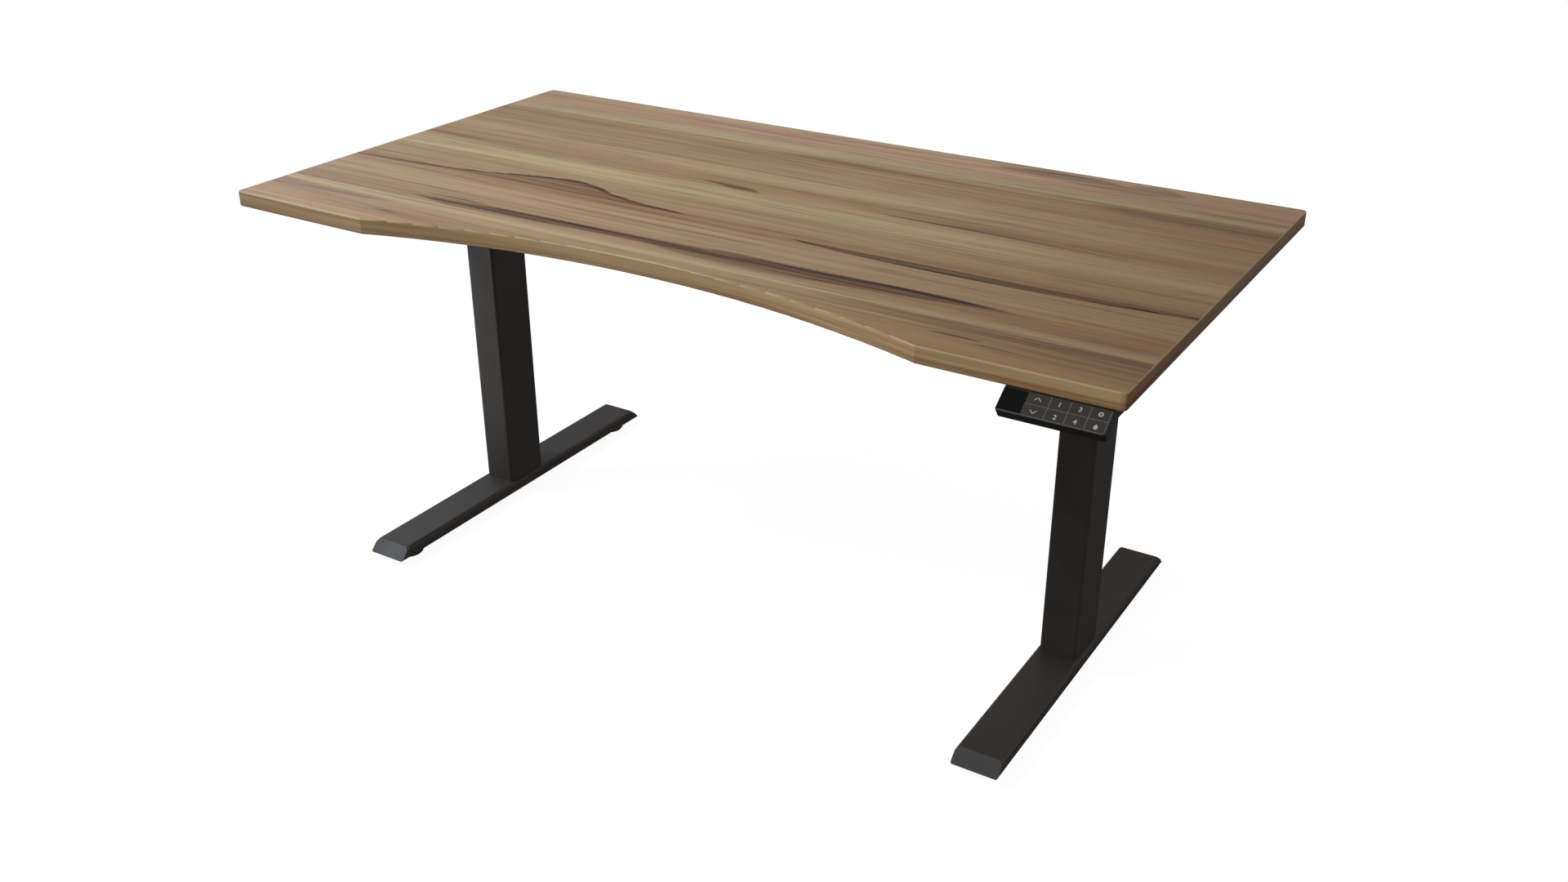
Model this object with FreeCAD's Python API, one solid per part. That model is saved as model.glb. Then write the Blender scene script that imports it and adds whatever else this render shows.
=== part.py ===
import FreeCAD, Part
import math
import os

# Height adjustable standing desk, in millimetres: +Z up, +Y towards the back, origin on the floor midway
# between the two legs. It is drawn fully lowered, with every lifting stage on its lower stop.
# Each piece of the desk is one solid in its own node; identical fasteners share a node.

# ---------------------------------------------------------------- driving dimensions
# Desktop
TOP_WIDTH = 1500.0
TOP_DEPTH = 800.0
TOP_THICKNESS = 25.0
TOP_UNDERSIDE_Z = 643.0
CORNER_RADIUS = 8.0
CUTOUT_WIDTH = 950.0
CUTOUT_DEPTH = 75.0
BAND_THICKNESS = 3.0
BAND_EDGE_RADIUS = 2.5

# Legs and stages
LEG_INSET = 179.0
STROKE = 650.0
OUTER_TUBE_X = 60.0
OUTER_TUBE_Y = 90.0
TUBE_WALL = 1.5
TUBE_RADIUS = 5.0
STAGE_GAP = 1.5
SLIDE_CLEARANCE = 0.3
STAGE_STEP_Z = 6.0
COLUMN_REVEAL = 20.0
COLLAR_LIP = 3.0
COLLAR_DEPTH = 18.0
SLIDER_DEPTH = 40.0
COLUMN_BOLT_INSET_X = 9.0
COLUMN_BOLT_INSET_Y = 12.0

# Feet and levelling glides
FOOT_LENGTH = 700.0
FOOT_WIDTH = 74.0
FOOT_HEIGHT = 20.0
FOOT_WALL = 2.0
FOOT_TOP_RADIUS = 7.0
FOOT_BOTTOM_RADIUS = 3.0
END_PLATE_THICKNESS = 2.5
END_PLATE_CHAMFER = 5.5
GLIDE_INSET = 53.0
GLIDE_RADIUS = 27.0
GLIDE_PAD_HEIGHT = 7.0
GLIDE_PAD_CHAMFER = 3.0
GLIDE_STUD_RADIUS = 4.0
GLIDE_STUD_GAP = 0.5
GLIDE_HEX_FLATS = 17.0
GLIDE_HEX_HEIGHT = 4.0
GLIDE_HEX_GAP = 2.0
GLIDE_NUT_FLATS = 13.0
GLIDE_NUT_HEIGHT = 6.5

# Screw drive
BASE_PLATE_THICKNESS = 8.0
TOWER_WALL = 3.0
TOWER_GAP = 1.5
SCREW_GAP = 2.0
SCREW_WALL = 3.5
SCREW_BORE_GAP = 0.5
SCREW_ENGAGEMENT = 35.0
NUT_HEADROOM = 5.0
BASE_NUT_HEIGHT = 16.0
HOLLOW_COLLAR_HEIGHT = 7.0
MIDDLE_PLATE_THICKNESS = 4.0
MIDDLE_NUT_FLANGE = 8.0
MIDDLE_NUT_NOSE = 12.0
MIDDLE_NUT_NOSE_WALL = 7.0
RUNNING_CLEARANCE = 0.08

# Head cradle, gearbox and motor
CRADLE_WALL = 3.0
CRADLE_OUTER_Y = 55.0
CRADLE_HEIGHT = 48.0
FRAME_DROP = 2.0
CRADLE_INWARD = 150.0
CRADLE_BEYOND_GEARBOX = 30.0
BRACKET_BOLT_INSET = 20.0
BRACKET_BOLT_LIFT = 13.0
BRACKET_BOLT_DROP = 11.0
BRACKET_BOLT_GRIP = 12.0
GEARBOX_X = 60.0
GEARBOX_WALL = 4.0
GEARBOX_DEPTH = 37.0
GEARBOX_COVER = 3.0
GEARBOX_FILLET = 4.0
GEARBOX_SCREW_RADIUS = 1.5
GEARBOX_SCREW_REACH = 9.0
GEARBOX_SCREW_HEAD_RADIUS = 2.8
GEARBOX_SCREW_HEAD_HEIGHT = 1.6
WHEEL_RADIUS = 19.0
WHEEL_TEETH = 28
WHEEL_TOOTH = 1.6
WHEEL_HEIGHT = 14.0
WHEEL_CLEARANCE = 1.5
MESH_CLEARANCE = 0.3
WORM_RADIUS = 5.0
WORM_LENGTH = 34.0
WORM_SHAFT_RADIUS = 3.0
WORM_SHAFT_GRIP = 8.0
MOTOR_RADIUS = 21.0
MOTOR_LENGTH = 105.0
MOTOR_LIFT = 22.0
MOTOR_CAP_RADIUS = 15.0
MOTOR_CAP_LENGTH = 5.0
MOTOR_RIM_RADIUS = 2.0
CRADLE_SCREW_GAP = 1.0

# Crossbar
SLEEVE_Y = 20.0
SLEEVE_Z = 40.0
SLEEVE_WALL = 1.5
SLEEVE_LENGTH = 325.0
SLEEVE_END_INSET = 6.0
SLEEVE_RADIUS = 2.0
SLEEVE_BOLT_GRIP = 8.0
RAIL_OVERLAP = 120.0
RAIL_LOCK_INSET = 20.0
RAIL_CLEARANCE = 0.3
RAIL_BOLT_GRIP = 9.0

# Side brackets
BRACKET_WALL = 2.5
BRACKET_LENGTH = 600.0
BRACKET_FLANGE = 35.0
BRACKET_LIP = 12.0
BRACKET_CENTRE_DEPTH = 47.0
BRACKET_END_DEPTH = 22.0
BRACKET_CENTRE_LENGTH = 150.0
BRACKET_SCREW_INSET = 30.0
BRACKET_SCREW_SPACING = 140.0

# Fasteners
BOLT_RADIUS = 3.0
BOLT_HOLE_RADIUS = 3.1
BOLT_HEAD_RADIUS = 5.25
BOLT_HEAD_HEIGHT = 3.3
ACCESS_HOLE_RADIUS = 7.0
WOOD_SCREW_RADIUS = 2.0
WOOD_SCREW_DEPTH = 16.0
WOOD_SCREW_HEAD_RADIUS = 4.5
WOOD_SCREW_HEAD_HEIGHT = 2.8
PILOT_RADIUS = 2.05
PILOT_EXTRA_DEPTH = 3.0
SCREW_CLEARANCE_RADIUS = 2.6

# Controller
CONTROLLER_X = 270.0
CONTROLLER_DEPTH = 105.0
CONTROLLER_BEHIND_CROSSBAR = 35.0
CONTROLLER_HEIGHT = 39.0
CONTROLLER_LID = 2.5
CONTROLLER_WALL = 2.0
CONTROLLER_EAR = 15.0
CONTROLLER_FILLET = 3.0
CONTROLLER_BOARD_GAP = 8.0
SOCKET_BLOCK_DEPTH = 14.0
SOCKET_RECESS = 11.0
SOCKET_LIFT = 8.0
MAINS_SOCKET_INSET = 21.0
MAINS_SOCKET_WIDTH = 24.0
MAINS_SOCKET_HEIGHT = 18.0
MAINS_SOCKET_RIM = 4.0
MAINS_PIN_RADIUS = 1.2
MAINS_PIN_REACH = 4.3
MAINS_PIN_SETBACK = 2.0
PORT_COUNT = 3
PORT_SPACING = 40.0
PORT_INSET = 65.0
PORT_WIDTH = 16.0
PORT_HEIGHT = 14.0
PORT_RIM = 3.0
TRANSFORMER_X = -75.0
TRANSFORMER_SIZE = 38.0
TRANSFORMER_HEIGHT = 18.0
HEAT_SINK_X = -10.0
HEAT_SINK_SIZE = 28.0
HEAT_SINK_HEIGHT = 12.0
CAPACITOR_PLACES = (45.0, 65.0)
CAPACITOR_RADIUS = 8.0
CAPACITOR_HEIGHT = 20.0
BOARD_PARTS_SETBACK = 37.0

# Handset
HANDSET_EDGE_GAP = 12.0
HANDSET_WIDTH = 139.0
HANDSET_THICKNESS = 14.0
HANDSET_SEAT = 50.0
HANDSET_REACH = 1.0
HANDSET_TILT = 35.0
HANDSET_FACE = 35.0
HANDSET_WALL = 2.0
HANDSET_EAR = 20.0
HANDSET_EAR_THICKNESS = 4.0
HANDSET_EAR_INSET = 22.0
HANDSET_EAR_WIDTH = 18.0
HANDSET_EAR_OVERLAP = 0.5
HANDSET_CORNER_RADIUS = 3.0
FASCIA_THICKNESS = 1.2
FASCIA_MARGIN = 1.0
DISPLAY_WIDTH = 31.0
BOARD_THICKNESS = 1.6
BOARD_DEPTH = 6.0
BOARD_INSET = 6.0

# ---------------------------------------------------------------- derived sizes and places
# Plan
LEG_X = TOP_WIDTH / 2 - LEG_INSET
GLIDE_Y = FOOT_LENGTH / 2 - GLIDE_INSET

# Heights from the floor up
FOOT_CLEARANCE_Z = GLIDE_PAD_HEIGHT + GLIDE_HEX_HEIGHT + GLIDE_HEX_GAP
FOOT_TOP_Z = FOOT_CLEARANCE_Z + FOOT_HEIGHT
GLIDE_STUD_TOP_Z = FOOT_TOP_Z - FOOT_WALL - TOWER_GAP
BASE_PLATE_TOP_Z = FOOT_TOP_Z + BASE_PLATE_THICKNESS
MIDDLE_BOTTOM_Z = BASE_PLATE_TOP_Z + STAGE_STEP_Z
MIDDLE_PLATE_Z = MIDDLE_BOTTOM_Z + SCREW_GAP
MIDDLE_PLATE_TOP_Z = MIDDLE_PLATE_Z + MIDDLE_PLATE_THICKNESS
INNER_BOTTOM_Z = MIDDLE_PLATE_TOP_Z + STAGE_STEP_Z

# Heights from the desktop down
CRADLE_TOP_Z = TOP_UNDERSIDE_Z - FRAME_DROP
CRADLE_BOTTOM_Z = CRADLE_TOP_Z - CRADLE_HEIGHT
CRADLE_FLOOR_Z = CRADLE_BOTTOM_Z + CRADLE_WALL
INNER_TUBE_TOP_Z = CRADLE_BOTTOM_Z
OUTER_TUBE_TOP_Z = INNER_TUBE_TOP_Z - COLUMN_REVEAL
MIDDLE_TUBE_TOP_Z = OUTER_TUBE_TOP_Z + STAGE_STEP_Z
MIDDLE_TOWER_TOP_Z = INNER_TUBE_TOP_Z - NUT_HEADROOM - MIDDLE_NUT_NOSE - MIDDLE_NUT_FLANGE
HOLLOW_SCREW_TOP_Z = MIDDLE_TOWER_TOP_Z - SLIDE_CLEARANCE
BASE_NUT_TOP_Z = HOLLOW_SCREW_TOP_Z - HOLLOW_COLLAR_HEIGHT - STAGE_STEP_Z
BASE_TOWER_TOP_Z = BASE_NUT_TOP_Z - BASE_NUT_HEIGHT
HOLLOW_SCREW_BOTTOM_Z = BASE_TOWER_TOP_Z - STROKE / 2 - SCREW_ENGAGEMENT
DRIVE_SCREW_BOTTOM_Z = HOLLOW_SCREW_TOP_Z - STROKE / 2 - SCREW_ENGAGEMENT
MOTOR_AXIS_Z = CRADLE_FLOOR_Z + MOTOR_LIFT
DRIVE_SCREW_TOP_Z = MOTOR_AXIS_Z + WHEEL_HEIGHT / 2 + SCREW_BORE_GAP
GEARBOX_TOP_Z = CRADLE_FLOOR_Z + GEARBOX_DEPTH
SLEEVE_TOP_Z = CRADLE_TOP_Z
SLEEVE_BOTTOM_Z = SLEEVE_TOP_Z - SLEEVE_Z
CONTROLLER_BOTTOM_Z = TOP_UNDERSIDE_Z - CONTROLLER_HEIGHT

# Tubes, towers and screws, each from the one outside it
MIDDLE_TUBE_X = OUTER_TUBE_X - 2 * (TUBE_WALL + STAGE_GAP)
MIDDLE_TUBE_Y = OUTER_TUBE_Y - 2 * (TUBE_WALL + STAGE_GAP)
INNER_TUBE_X = MIDDLE_TUBE_X - 2 * (TUBE_WALL + STAGE_GAP)
INNER_TUBE_Y = MIDDLE_TUBE_Y - 2 * (TUBE_WALL + STAGE_GAP)
MIDDLE_TOWER_RADIUS = INNER_TUBE_X / 2 - TUBE_WALL - TOWER_GAP
MIDDLE_TOWER_BORE = MIDDLE_TOWER_RADIUS - TOWER_WALL
BASE_TOWER_RADIUS = MIDDLE_TOWER_BORE - SCREW_GAP
BASE_TOWER_BORE = BASE_TOWER_RADIUS - TOWER_WALL
HOLLOW_SCREW_RADIUS = BASE_TOWER_BORE - SCREW_GAP
HOLLOW_SCREW_BORE = HOLLOW_SCREW_RADIUS - SCREW_WALL
HOLLOW_COLLAR_RADIUS = MIDDLE_TOWER_BORE - SCREW_GAP
DRIVE_SCREW_RADIUS = HOLLOW_SCREW_BORE - SCREW_BORE_GAP
MIDDLE_NUT_NOSE_RADIUS = DRIVE_SCREW_RADIUS + MIDDLE_NUT_NOSE_WALL

# Gearbox and motor
MOTOR_AXIS_Y = WHEEL_RADIUS + MESH_CLEARANCE + WORM_RADIUS
WHEEL_CAVITY_RADIUS = WHEEL_RADIUS + WHEEL_CLEARANCE
WORM_CAVITY_RADIUS = WORM_RADIUS + WHEEL_CLEARANCE
GEARBOX_Y0 = -WHEEL_CAVITY_RADIUS - GEARBOX_WALL
GEARBOX_Y1 = MOTOR_AXIS_Y + WORM_CAVITY_RADIUS + GEARBOX_WALL

# Head frame
CRADLE_INNER_Y = CRADLE_OUTER_Y - CRADLE_WALL
CRADLE_END_X = LEG_X + GEARBOX_X / 2 + CRADLE_BEYOND_GEARBOX
SLEEVE_CENTRE_Y = CRADLE_OUTER_Y + SLEEVE_Y / 2
SLEEVE_OUTER_END_X = CRADLE_END_X - SLEEVE_END_INSET
SLEEVE_INNER_END_X = SLEEVE_OUTER_END_X - SLEEVE_LENGTH
RAIL_HALF_LENGTH = SLEEVE_INNER_END_X + RAIL_OVERLAP
RAIL_LOCK_X = SLEEVE_INNER_END_X + RAIL_LOCK_INSET
BRACKET_X0 = CRADLE_END_X
BRACKET_SCREW_X = BRACKET_X0 + (BRACKET_LIP + BRACKET_FLANGE) / 2
BRACKET_SCREW_REACH = BRACKET_LENGTH / 2 - BRACKET_SCREW_INSET

# Controller and handset
CONTROLLER_Y0 = CRADLE_OUTER_Y + SLEEVE_Y + CONTROLLER_BEHIND_CROSSBAR
CONTROLLER_Y1 = CONTROLLER_Y0 + CONTROLLER_DEPTH
CONTROLLER_EAR_X = CONTROLLER_X / 2 + CONTROLLER_EAR / 2
MAINS_SOCKET_X = CONTROLLER_X / 2 - MAINS_SOCKET_INSET - MAINS_SOCKET_WIDTH
HANDSET_X0 = TOP_WIDTH / 2 - HANDSET_EDGE_GAP - HANDSET_WIDTH
HANDSET_FRONT_Y = -TOP_DEPTH / 2 - HANDSET_REACH
HANDSET_BACK_Y = HANDSET_FRONT_Y + HANDSET_SEAT
HANDSET_EAR_Y = HANDSET_BACK_Y + HANDSET_EAR / 2
SIDES = ("left", "right")


# ---------------------------------------------------------------- shape helpers
def vec(x, y, z):
    return FreeCAD.Vector(x, y, z)


def box(x0, x1, y0, y1, z0, z1):
    return Part.makeBox(x1 - x0, y1 - y0, z1 - z0, vec(x0, y0, z0))


def rod(radius, start, end):
    direction = end - start
    return Part.makeCylinder(radius, direction.Length, start, direction)


def prism(points, direction):
    """Solid swept from a closed polygon of points along direction."""
    wire = Part.makePolygon(list(points) + [points[0]])
    return Part.Face(wire).extrude(direction)


def rounded_outline(x0, x1, y0, y1, z, radii):
    """Flat face of a rectangle with rounded corners, radii from (x0, y0) anticlockwise."""
    corners = [(x0, y0, 1, 1), (x1, y0, -1, 1), (x1, y1, -1, -1), (x0, y1, 1, -1)]
    edges = []
    ends = []
    for (x, y, in_x, in_y), radius in zip(corners, radii):
        turn_x_first = in_x != in_y
        along_x = vec(x + in_x * radius, y, z)
        along_y = vec(x, y + in_y * radius, z)
        bulge = radius * (1 - math.sqrt(0.5))
        middle = vec(x + in_x * bulge, y + in_y * bulge, z)
        start, end = (along_x, along_y) if turn_x_first else (along_y, along_x)
        edges.append(Part.Arc(start, middle, end).toShape())
        ends.append((start, end))
    for (_, end), (start, _) in zip(ends, ends[1:] + ends[:1]):
        edges.append(Part.LineSegment(end, start).toShape())
    return Part.Face(Part.Wire(Part.__sortEdges__(edges)))


def rounded_bar(size_x, size_y, radius, z0, z1, centre_x=LEG_X, centre_y=0.0):
    face = rounded_outline(
        centre_x - size_x / 2,
        centre_x + size_x / 2,
        centre_y - size_y / 2,
        centre_y + size_y / 2,
        z0,
        [radius] * 4,
    )
    return face.extrude(vec(0, 0, z1 - z0))


def rounded_tube(size_x, size_y, wall, radius, z0, z1, **centre):
    inner_radius = max(radius - wall, 0.5)
    outer = rounded_bar(size_x, size_y, radius, z0, z1, **centre)
    return outer.cut(rounded_bar(size_x - 2 * wall, size_y - 2 * wall, inner_radius, z0, z1, **centre))


def hexagon(flats, x, y, z0, z1):
    reach = flats / math.sqrt(3.0)
    points = [
        vec(x + reach * math.cos(math.radians(60 * k)), y + reach * math.sin(math.radians(60 * k)), z0)
        for k in range(6)
    ]
    return prism(points, vec(0, 0, z1 - z0))


def bolt(head_face, direction, grip):
    """Button head bolt: its head stands on head_face, away from direction, and its shank runs grip mm on."""
    unit = direction.normalize()
    head = rod(BOLT_HEAD_RADIUS, head_face - unit * BOLT_HEAD_HEIGHT, head_face)
    return head.fuse(rod(BOLT_RADIUS, head_face, head_face + unit * grip)).removeSplitter()


def bolt_hole(head_face, direction, grip, radius=BOLT_HOLE_RADIUS):
    unit = direction.normalize()
    return rod(radius, head_face - unit * grip, head_face + unit * grip)


def cut_all(shape, tools):
    for tool in tools:
        shape = shape.cut(tool)
    return shape


def for_side(shape, side):
    """A right-hand piece as drawn, or its mirror image for the left leg."""
    return shape if side == "right" else shape.mirror(vec(0, 0, 0), vec(1, 0, 0))


def save(name, *solids):
    """Writes one node: the solids given, each checked to be one closed solid."""
    found = [solid for shape in solids for solid in shape.Solids]
    for solid in found:
        if not solid.isValid() or solid.Volume <= 0:
            raise ValueError(f"{name} holds a bad solid")
    whole = found[0] if len(found) == 1 else Part.makeCompound(found)
    whole.exportStep(f"parts/{name}.step")


def save_both(name, pieces):
    """Saves right-hand pieces and their mirror images together, for small identical pieces."""
    save(name, *[for_side(piece, side) for side in SIDES for piece in pieces])


def save_pairs(name, pieces):
    """Saves a right-hand piece, or list of pieces, as right_NAME and its mirror image as left_NAME."""
    for side in SIDES:
        save(f"{side}_{name}", *[for_side(piece, side) for piece in pieces])


# ---------------------------------------------------------------- desktop
def bracket_screw_rows():
    inner = BRACKET_SCREW_REACH - BRACKET_SCREW_SPACING
    return (-BRACKET_SCREW_REACH, -inner, inner, BRACKET_SCREW_REACH)


def wood_screw_places():
    """Every wood screw: its x, y and the underside of the piece that its head bears on."""
    places = []
    for sign in (-1, 1):
        for y in bracket_screw_rows():
            places.append((sign * BRACKET_SCREW_X, y, TOP_UNDERSIDE_Z - BRACKET_WALL))
        for y in (CONTROLLER_Y0 + CONTROLLER_EAR, CONTROLLER_Y1 - CONTROLLER_EAR):
            places.append((sign * CONTROLLER_EAR_X, y, TOP_UNDERSIDE_Z - CONTROLLER_LID))
    for x in (HANDSET_X0 + HANDSET_EAR_INSET, HANDSET_X0 + HANDSET_WIDTH - HANDSET_EAR_INSET):
        places.append((x, HANDSET_EAR_Y, TOP_UNDERSIDE_Z - HANDSET_EAR_THICKNESS))
    return places


def desktop_outline(inset):
    """Desktop plan, moved in by inset: straight sides, rounded corners and a shallow arc at the front."""
    half = TOP_WIDTH / 2 - inset
    back = TOP_DEPTH / 2 - inset
    front = -TOP_DEPTH / 2 + inset
    radius = CORNER_RADIUS - inset
    bulge = radius * (1 - math.sqrt(0.5))
    half_cut = CUTOUT_WIDTH / 2
    arc_radius = (half_cut**2 + CUTOUT_DEPTH**2) / (2 * CUTOUT_DEPTH)
    arc_centre_y = -TOP_DEPTH / 2 + CUTOUT_DEPTH - arc_radius
    inset_radius = arc_radius + inset
    notch_x = math.sqrt(inset_radius**2 - (front - arc_centre_y) ** 2)
    z = TOP_UNDERSIDE_Z
    edges = [
        Part.Arc(
            vec(-notch_x, front, z), vec(0, arc_centre_y + inset_radius, z), vec(notch_x, front, z)
        ).toShape(),
        Part.LineSegment(vec(notch_x, front, z), vec(half - radius, front, z)).toShape(),
        Part.Arc(
            vec(half - radius, front, z),
            vec(half - bulge, front + bulge, z),
            vec(half, front + radius, z),
        ).toShape(),
        Part.LineSegment(vec(half, front + radius, z), vec(half, back - radius, z)).toShape(),
        Part.Arc(
            vec(half, back - radius, z), vec(half - bulge, back - bulge, z), vec(half - radius, back, z)
        ).toShape(),
        Part.LineSegment(vec(half - radius, back, z), vec(-half + radius, back, z)).toShape(),
        Part.Arc(
            vec(-half + radius, back, z), vec(-half + bulge, back - bulge, z), vec(-half, back - radius, z)
        ).toShape(),
        Part.LineSegment(vec(-half, back - radius, z), vec(-half, front + radius, z)).toShape(),
        Part.Arc(
            vec(-half, front + radius, z),
            vec(-half + bulge, front + bulge, z),
            vec(-half + radius, front, z),
        ).toShape(),
        Part.LineSegment(vec(-half + radius, front, z), vec(-notch_x, front, z)).toShape(),
    ]
    return Part.Face(Part.Wire(edges))


def make_desktop():
    rise = vec(0, 0, TOP_THICKNESS)
    whole = desktop_outline(0.0).extrude(rise)
    rims = [
        edge
        for edge in whole.Edges
        if abs(edge.BoundBox.ZMax - edge.BoundBox.ZMin) < 1e-6
    ]
    whole = whole.makeFillet(BAND_EDGE_RADIUS, rims)
    core = desktop_outline(BAND_THICKNESS).extrude(rise)
    band = whole.cut(core)
    pilot_depth = WOOD_SCREW_DEPTH + PILOT_EXTRA_DEPTH
    pilots = [
        rod(PILOT_RADIUS, vec(x, y, TOP_UNDERSIDE_Z - 1), vec(x, y, head_z + pilot_depth))
        for x, y, head_z in wood_screw_places()
    ]
    save("desktop_board", cut_all(core, pilots))
    save("desktop_edge_band", band)


# ---------------------------------------------------------------- feet
def foot_profile(wall, chamfer=0.0):
    """Bar of the foot's cross-section, moved in by wall: large top radii or chamfers, small bottom ones."""
    x0 = LEG_X - FOOT_WIDTH / 2 + wall
    x1 = LEG_X + FOOT_WIDTH / 2 - wall
    z0 = FOOT_CLEARANCE_Z + wall
    z1 = FOOT_TOP_Z - wall
    low = max(FOOT_BOTTOM_RADIUS - wall, 0.5)
    high = FOOT_TOP_RADIUS - wall
    face = rounded_outline(x0, x1, z0, z1, 0.0, [low, low, high, high])
    bar = face.extrude(vec(0, 0, FOOT_LENGTH))
    bar.rotate(vec(0, 0, 0), vec(1, 0, 0), 90)
    bar.translate(vec(0, FOOT_LENGTH / 2, 0))
    if chamfer:
        y0, y1 = -FOOT_LENGTH / 2, FOOT_LENGTH / 2
        for x, inward in ((x0, 1), (x1, -1)):
            corner = [
                vec(x - inward, y0, z1 + 1),
                vec(x - inward, y0, z1 - chamfer - 1),
                vec(x, y0, z1 - chamfer),
                vec(x + inward * chamfer, y0, z1),
                vec(x + inward * chamfer, y0, z1 + 1),
            ]
            bar = bar.cut(prism(corner, vec(0, y1 - y0, 0)))
    return bar


def foot_wedge(shorten):
    """Trapezium along Y that cuts both ends of the foot at 45 degrees, each moved in by shorten."""
    low = FOOT_LENGTH / 2 - shorten
    high = low - FOOT_HEIGHT
    x0 = LEG_X - FOOT_WIDTH
    points = [
        vec(x0, -low, FOOT_CLEARANCE_Z),
        vec(x0, low, FOOT_CLEARANCE_Z),
        vec(x0, high, FOOT_TOP_Z),
        vec(x0, -high, FOOT_TOP_Z),
    ]
    return prism(points, vec(2 * FOOT_WIDTH, 0, 0))


def column_bolt_places():
    reach_x = OUTER_TUBE_X / 2 - TUBE_WALL - COLUMN_BOLT_INSET_X
    reach_y = OUTER_TUBE_Y / 2 - TUBE_WALL - COLUMN_BOLT_INSET_Y
    return [(LEG_X + sx * reach_x, sy * reach_y) for sx in (-1, 1) for sy in (-1, 1)]


def make_feet():
    plate_run = END_PLATE_THICKNESS * math.sqrt(2.0)
    beam = foot_profile(0.0).cut(foot_profile(FOOT_WALL)).common(foot_wedge(plate_run))
    inside_top = FOOT_TOP_Z - FOOT_WALL
    holes = []
    for x, y in column_bolt_places():
        holes.append(rod(BOLT_HOLE_RADIUS, vec(x, y, inside_top - 1), vec(x, y, FOOT_TOP_Z + 1)))
        holes.append(
            rod(
                ACCESS_HOLE_RADIUS,
                vec(x, y, FOOT_CLEARANCE_Z - 1),
                vec(x, y, FOOT_CLEARANCE_Z + FOOT_WALL + 1),
            )
        )
    for y in (-GLIDE_Y, GLIDE_Y):
        holes.append(
            rod(
                GLIDE_STUD_RADIUS + GLIDE_STUD_GAP,
                vec(LEG_X, y, FOOT_CLEARANCE_Z - 1),
                vec(LEG_X, y, inside_top - 1),
            )
        )
    save_pairs("foot_beam", [cut_all(beam, holes)])

    ends = foot_profile(0.0, END_PLATE_CHAMFER).common(foot_wedge(0.0).cut(foot_wedge(plate_run)))
    save_both("foot_end_plates", ends.Solids)

    bolts = [
        bolt(vec(x, y, inside_top), vec(0, 0, 1), FOOT_WALL + BASE_PLATE_THICKNESS)
        for x, y in column_bolt_places()
    ]
    save_both("foot_bolts", bolts)

    nut_z = FOOT_CLEARANCE_Z + FOOT_WALL
    nuts = [
        hexagon(GLIDE_NUT_FLATS, LEG_X, y, nut_z, nut_z + GLIDE_NUT_HEIGHT).cut(
            rod(
                GLIDE_STUD_RADIUS + RUNNING_CLEARANCE,
                vec(LEG_X, y, nut_z - 1),
                vec(LEG_X, y, nut_z + GLIDE_NUT_HEIGHT + 1),
            )
        )
        for y in (-GLIDE_Y, GLIDE_Y)
    ]
    save_both("glide_weld_nuts", nuts)


def make_glides():
    for place, y in (("front", -GLIDE_Y), ("rear", GLIDE_Y)):
        pad = rod(GLIDE_RADIUS, vec(LEG_X, y, 0), vec(LEG_X, y, GLIDE_PAD_HEIGHT))
        rim = [e for e in pad.Edges if e.BoundBox.ZMin > GLIDE_PAD_HEIGHT - 1e-6]
        pad = pad.makeChamfer(GLIDE_PAD_CHAMFER, rim)
        hexed = hexagon(GLIDE_HEX_FLATS, LEG_X, y, GLIDE_PAD_HEIGHT, GLIDE_PAD_HEIGHT + GLIDE_HEX_HEIGHT)
        stud = rod(GLIDE_STUD_RADIUS, vec(LEG_X, y, GLIDE_PAD_HEIGHT), vec(LEG_X, y, GLIDE_STUD_TOP_Z))
        glide = pad.fuse([hexed, stud]).removeSplitter()
        save_pairs(f"{place}_glide", [glide])


# ---------------------------------------------------------------- columns
def make_columns():
    save_pairs(
        "outer_tube",
        [rounded_tube(OUTER_TUBE_X, OUTER_TUBE_Y, TUBE_WALL, TUBE_RADIUS, FOOT_TOP_Z, OUTER_TUBE_TOP_Z)],
    )
    middle = rounded_tube(
        MIDDLE_TUBE_X, MIDDLE_TUBE_Y, TUBE_WALL, TUBE_RADIUS, MIDDLE_BOTTOM_Z, MIDDLE_TUBE_TOP_Z
    )
    save_pairs("middle_tube", [middle])
    save_pairs(
        "inner_tube",
        [rounded_tube(INNER_TUBE_X, INNER_TUBE_Y, TUBE_WALL, TUBE_RADIUS, INNER_BOTTOM_Z, INNER_TUBE_TOP_Z)],
    )
    save_both("outer_collars", [collar(OUTER_TUBE_X, OUTER_TUBE_Y, OUTER_TUBE_TOP_Z)])
    save_pairs("middle_collar", [collar(MIDDLE_TUBE_X, MIDDLE_TUBE_Y, MIDDLE_TUBE_TOP_Z)])
    save_pairs("middle_slider", [slider(MIDDLE_TUBE_X, MIDDLE_TUBE_Y, MIDDLE_BOTTOM_Z)])
    save_both("inner_sliders", [slider(INNER_TUBE_X, INNER_TUBE_Y, INNER_BOTTOM_Z)])


def collar(tube_x, tube_y, top_z):
    """Plastic guide pressed into the mouth of a tube, with a lip over its rim, that the next tube runs in."""
    bore_x = tube_x - 2 * TUBE_WALL
    bore_y = tube_y - 2 * TUBE_WALL
    bore_radius = TUBE_RADIUS - TUBE_WALL
    plug = rounded_bar(bore_x, bore_y, bore_radius, top_z - COLLAR_DEPTH, top_z)
    lip = rounded_bar(tube_x, tube_y, TUBE_RADIUS, top_z, top_z + COLLAR_LIP)
    thickness = STAGE_GAP - SLIDE_CLEARANCE
    passage = rounded_bar(
        bore_x - 2 * thickness,
        bore_y - 2 * thickness,
        TUBE_RADIUS,
        top_z - COLLAR_DEPTH,
        top_z + COLLAR_LIP,
    )
    return plug.fuse(lip).removeSplitter().cut(passage)


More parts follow.
